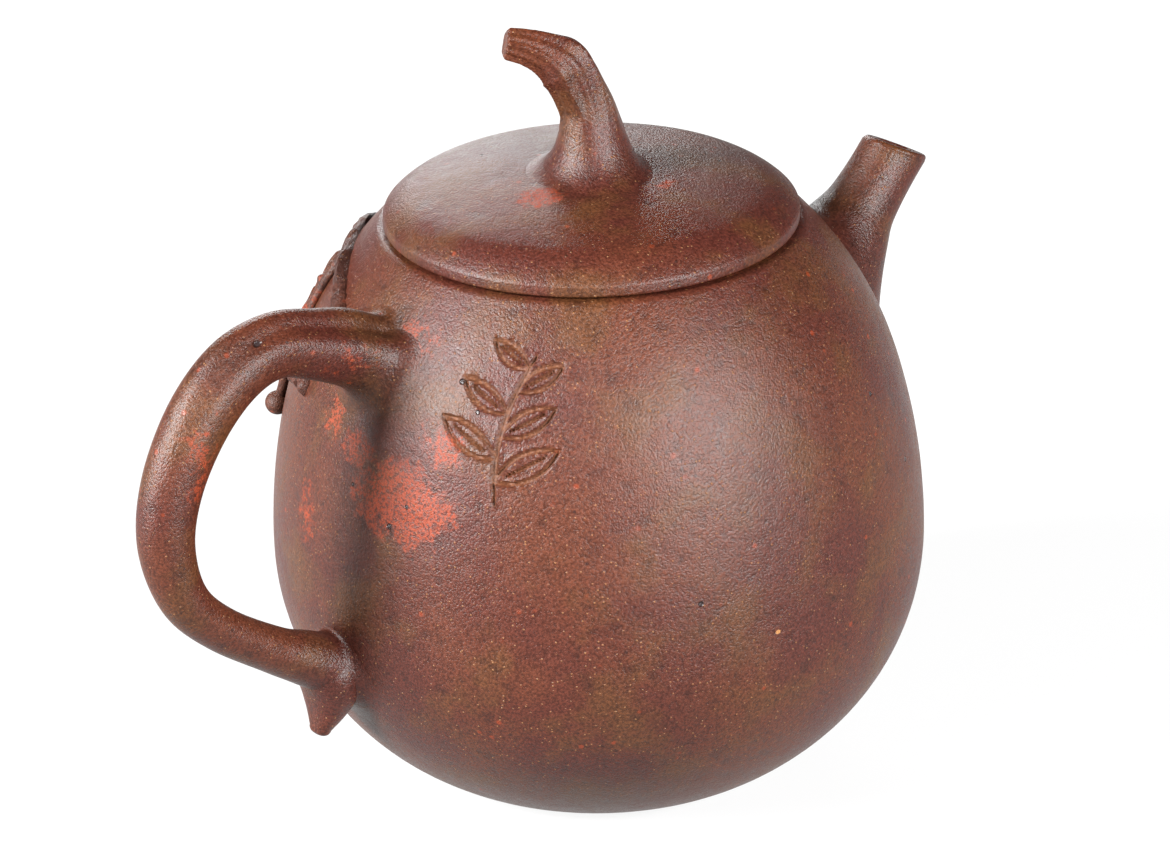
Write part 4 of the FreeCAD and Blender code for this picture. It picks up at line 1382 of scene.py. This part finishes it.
@dataclass
class Studio:
    """Camera, soft lights, even surroundings and a pale floor; lengths in millimetres."""

    azimuth: float = -37.0
    elevation: float = 25.68
    distance: float = 600.0
    target_height: float = 35.5
    aim_right: float = -1.70
    aim_up: float = 9.10
    roll: float = -1.334
    lens: float = 141.9
    surround: float = 0.12
    floor_half: float = 4000.0
    light_aim: float = 45.0
    lights: tuple[tuple[str, Triple, float, Point, float], ...] = (
        ("front_light", (0.061, -0.936, 0.348), 900.0, (400.0, 400.0), 41.0),
        ("left_light", (-0.90, 0.21, 0.44), 800.0, (260.0, 440.0), 44.0),
        ("back_light", (0.42, 0.87, 0.24), 900.0, (380.0, 170.0), 3.6))

    def camera(self) -> None:
        """Stand the camera in front of the pot, a little above it."""
        a, e = math.radians(self.azimuth), math.radians(self.elevation)
        back = Vector((math.sin(a) * math.cos(e), -math.cos(a) * math.cos(e), math.sin(e)))
        right = Vector((math.cos(a), math.sin(a), 0.0))
        up = back.cross(right)
        roll = math.radians(self.roll)
        right, up = (math.cos(roll) * right + math.sin(roll) * up,
                     -math.sin(roll) * right + math.cos(roll) * up)
        target = Vector((0.0, 0.0, self.target_height))
        place = target + back * self.distance
        ahead = (target + right * self.aim_right + up * self.aim_up - place).normalized()
        right = (right - ahead * right.dot(ahead)).normalized()
        stand = Matrix((right, right.cross(ahead), -ahead)).transposed().to_4x4()
        stand.translation = place * MM
        data = bpy.data.cameras.new("camera")
        data.lens = self.lens
        data.sensor_width = 36.0
        data.clip_start = 0.01
        camera = placed("camera", data)
        camera.matrix_world = stand
        bpy.context.scene.camera = camera

    def softbox(self, name: str, towards: Triple, distance: float, size: Point,
                power: float) -> None:
        """A soft light that faces the pot from a direction.

        Args:
            name: The light's name.
            towards: The direction from the pot to the light.
            distance: How far away it stands.
            size: Its width and height.
            power: Its power in watts.
        """
        data = bpy.data.lights.new(name, "AREA")
        data.shape = "RECTANGLE"
        data.size, data.size_y = size[0] * MM, size[1] * MM
        data.energy = power
        light = placed(name, data)
        way = Vector(towards).normalized()
        light.location = (way * distance + Vector((0.0, 0.0, self.light_aim))) * MM
        light.rotation_euler = way.to_track_quat("Z", "Y").to_euler()

    def build(self) -> None:
        """Set up everything but the pot."""
        self.camera()
        for light in self.lights:
            self.softbox(*light)
        world = bpy.data.worlds.new("surroundings")
        world.use_nodes = True
        sky = world.node_tree.nodes["Background"]
        sky.inputs["Color"].default_value = (1.0, 1.0, 1.0, 1.0)
        sky.inputs["Strength"].default_value = self.surround
        bpy.context.scene.world = world
        half = self.floor_half
        corners = [(-half, -half, 0.0), (half, -half, 0.0), (half, half, 0.0), (-half, half, 0.0)]
        floor = Bench.piece("floor", corners, [(0, 1, 2, 3)])
        floor.data.materials.append(PaleFloor().build())
        bpy.context.scene.view_settings.view_transform = "Standard"


# ---- everything ----


def clays(vessel_form: RoundForm) -> dict[Slot, Material]:
    """The five clays, with the marks the fire left on them and patches of painted shade.

    Args:
        vessel_form: The pot's round form, which places the marks on its wall.

    Returns:
        A material for each slot.
    """

    def mark(azimuth: float, height: float, size: Triple,
             strength: float = 1.0) -> Spot:
        """A mark on the pot's wall at an azimuth in degrees and a height."""
        centre = tuple(float(c) for c in vessel_form.point(azimuth, height))
        return Spot(centre, size, strength)

    # Painted shade: darkened patches at the handle's upper and lower roots, round the spout's root and low on
    # the front of the wall.
    painted_shade = (mark(182.0, 66.0, (10.0, 12.0, 9.0), 0.5), mark(2.0, 61.0, (16.0, 17.0, 14.0), 0.75),
             mark(180.0, 26.0, (9.0, 10.0, 8.0), 0.45), mark(236.0, 12.0, (26.0, 26.0, 12.0), 0.3))
    pot = Clay(
        "pot_clay",
        flashes=(mark(195.0, 50.5, (13.0, 14.0, 8.5)), mark(184.0, 55.0, (5.0, 6.0, 4.5), 0.8),
                 mark(175.0, 58.0, (3.0, 4.0, 10.0), 0.75), mark(203.0, 58.5, (5.0, 6.0, 5.0), 0.7),
                 mark(189.0, 69.0, (6.0, 7.0, 5.0), 0.62), mark(171.0, 44.0, (4.0, 5.0, 9.0), 0.6)),
        shades=painted_shade,
        pits=tuple(mark(azimuth, height, (size,) * 3) for azimuth, height, size in (
            (204.6, 65.9, 0.42), (209.3, 63.0, 0.34), (197.2, 50.4, 0.32), (193.8, 47.4, 0.44),
            (184.0, 50.7, 0.3), (250.0, 40.0, 0.4), (297.0, 57.0, 0.34), (305.0, 46.0, 0.36),
            (60.0, 40.0, 0.4), (20.0, 30.0, 0.36), (120.0, 24.0, 0.42))),
        grains=(mark(264.0, 34.0, (0.45, 0.45, 0.35)), mark(52.0, 62.0, (0.4, 0.4, 0.3))))
    lid = Clay(
        "lid_clay", ground=(0.0345, 0.0088, 0.0040), plum=(0.0270, 0.0058, 0.0036), roughness=0.41,
        flashes=(Spot((-10.0, -3.0, 81.0), (6.0, 5.0, 4.0), 0.8),
                 Spot((4.0, -9.5, 80.8), (4.0, 3.0, 3.0), 0.6)),
        # Painted shade round the foot of the stem.
        shades=(Spot((0.0, -2.0, 81.5), (13.0, 12.0, 4.0), 0.55),),
        pits=(Spot((16.0, -6.0, 80.0), (0.32, 0.32, 0.5)), Spot((-6.0, 15.0, 80.2), (0.34, 0.34, 0.5))))
    coil = Clay(
        "coil_clay", fleck_share=0.06,
        flashes=(Spot((-62.0, -3.0, 60.0), (6.0, 5.0, 12.0), 0.5),
                 Spot((-40.0, -4.0, 68.0), (8.0, 5.0, 4.0), 0.5)),
        # Painted shade: the pot's patches, the top of the handle's loop, and the foot of the stem.
        shades=(*painted_shade, Spot((-56.0, -2.0, 72.0), (9.0, 6.0, 5.0), 0.5),
                Spot((0.0, 0.0, 81.5), (13.0, 13.0, 5.0), 0.55)),
        pits=(Spot((-52.5, -2.4, 73.4), (0.8, 0.6, 0.8)),))
    relief = Clay(
        "relief_clay", ground=(0.030, 0.0085, 0.0045), plum=(0.018, 0.0055, 0.0035),
        olive=(0.036, 0.0115, 0.0055), roughness=0.5, grain_height=0.2, fleck_share=0.12,
        flashes=(mark(140.0, 62.0, (14.0, 14.0, 12.0), 0.55), mark(95.0, 52.0, (12.0, 8.0, 16.0), 0.5)))
    inner = Clay(
        "inner_clay", ground=(0.072, 0.027, 0.014), plum=(0.058, 0.020, 0.0115), olive=(0.068, 0.029, 0.014),
        roughness=0.62, grain_height=0.10)
    made = {Slot.POT: pot, Slot.LID: lid, Slot.COIL: coil, Slot.RELIEF: relief, Slot.INNER: inner}
    return {slot: clay.build() for slot, clay in made.items()}


def main() -> None:
    """Build the teapot's looks and the studio round it."""
    logging.basicConfig(level=logging.INFO, format="%(message)s")
    bench = Bench()
    vessel = Vessel(bench)
    clay = clays(vessel.form)
    vessel.build(clay[Slot.POT], clay[Slot.INNER])
    Handle(bench, vessel.form, clay[Slot.COIL]).build()
    Spout(bench, vessel.form, clay[Slot.COIL]).build()
    Lid(bench, clay[Slot.LID], clay[Slot.COIL], clay[Slot.INNER]).build()
    Vine(bench, vessel.form, clay[Slot.RELIEF], vessel.rim).build()
    Studio().build()


if __name__ == "__main__":
    main()
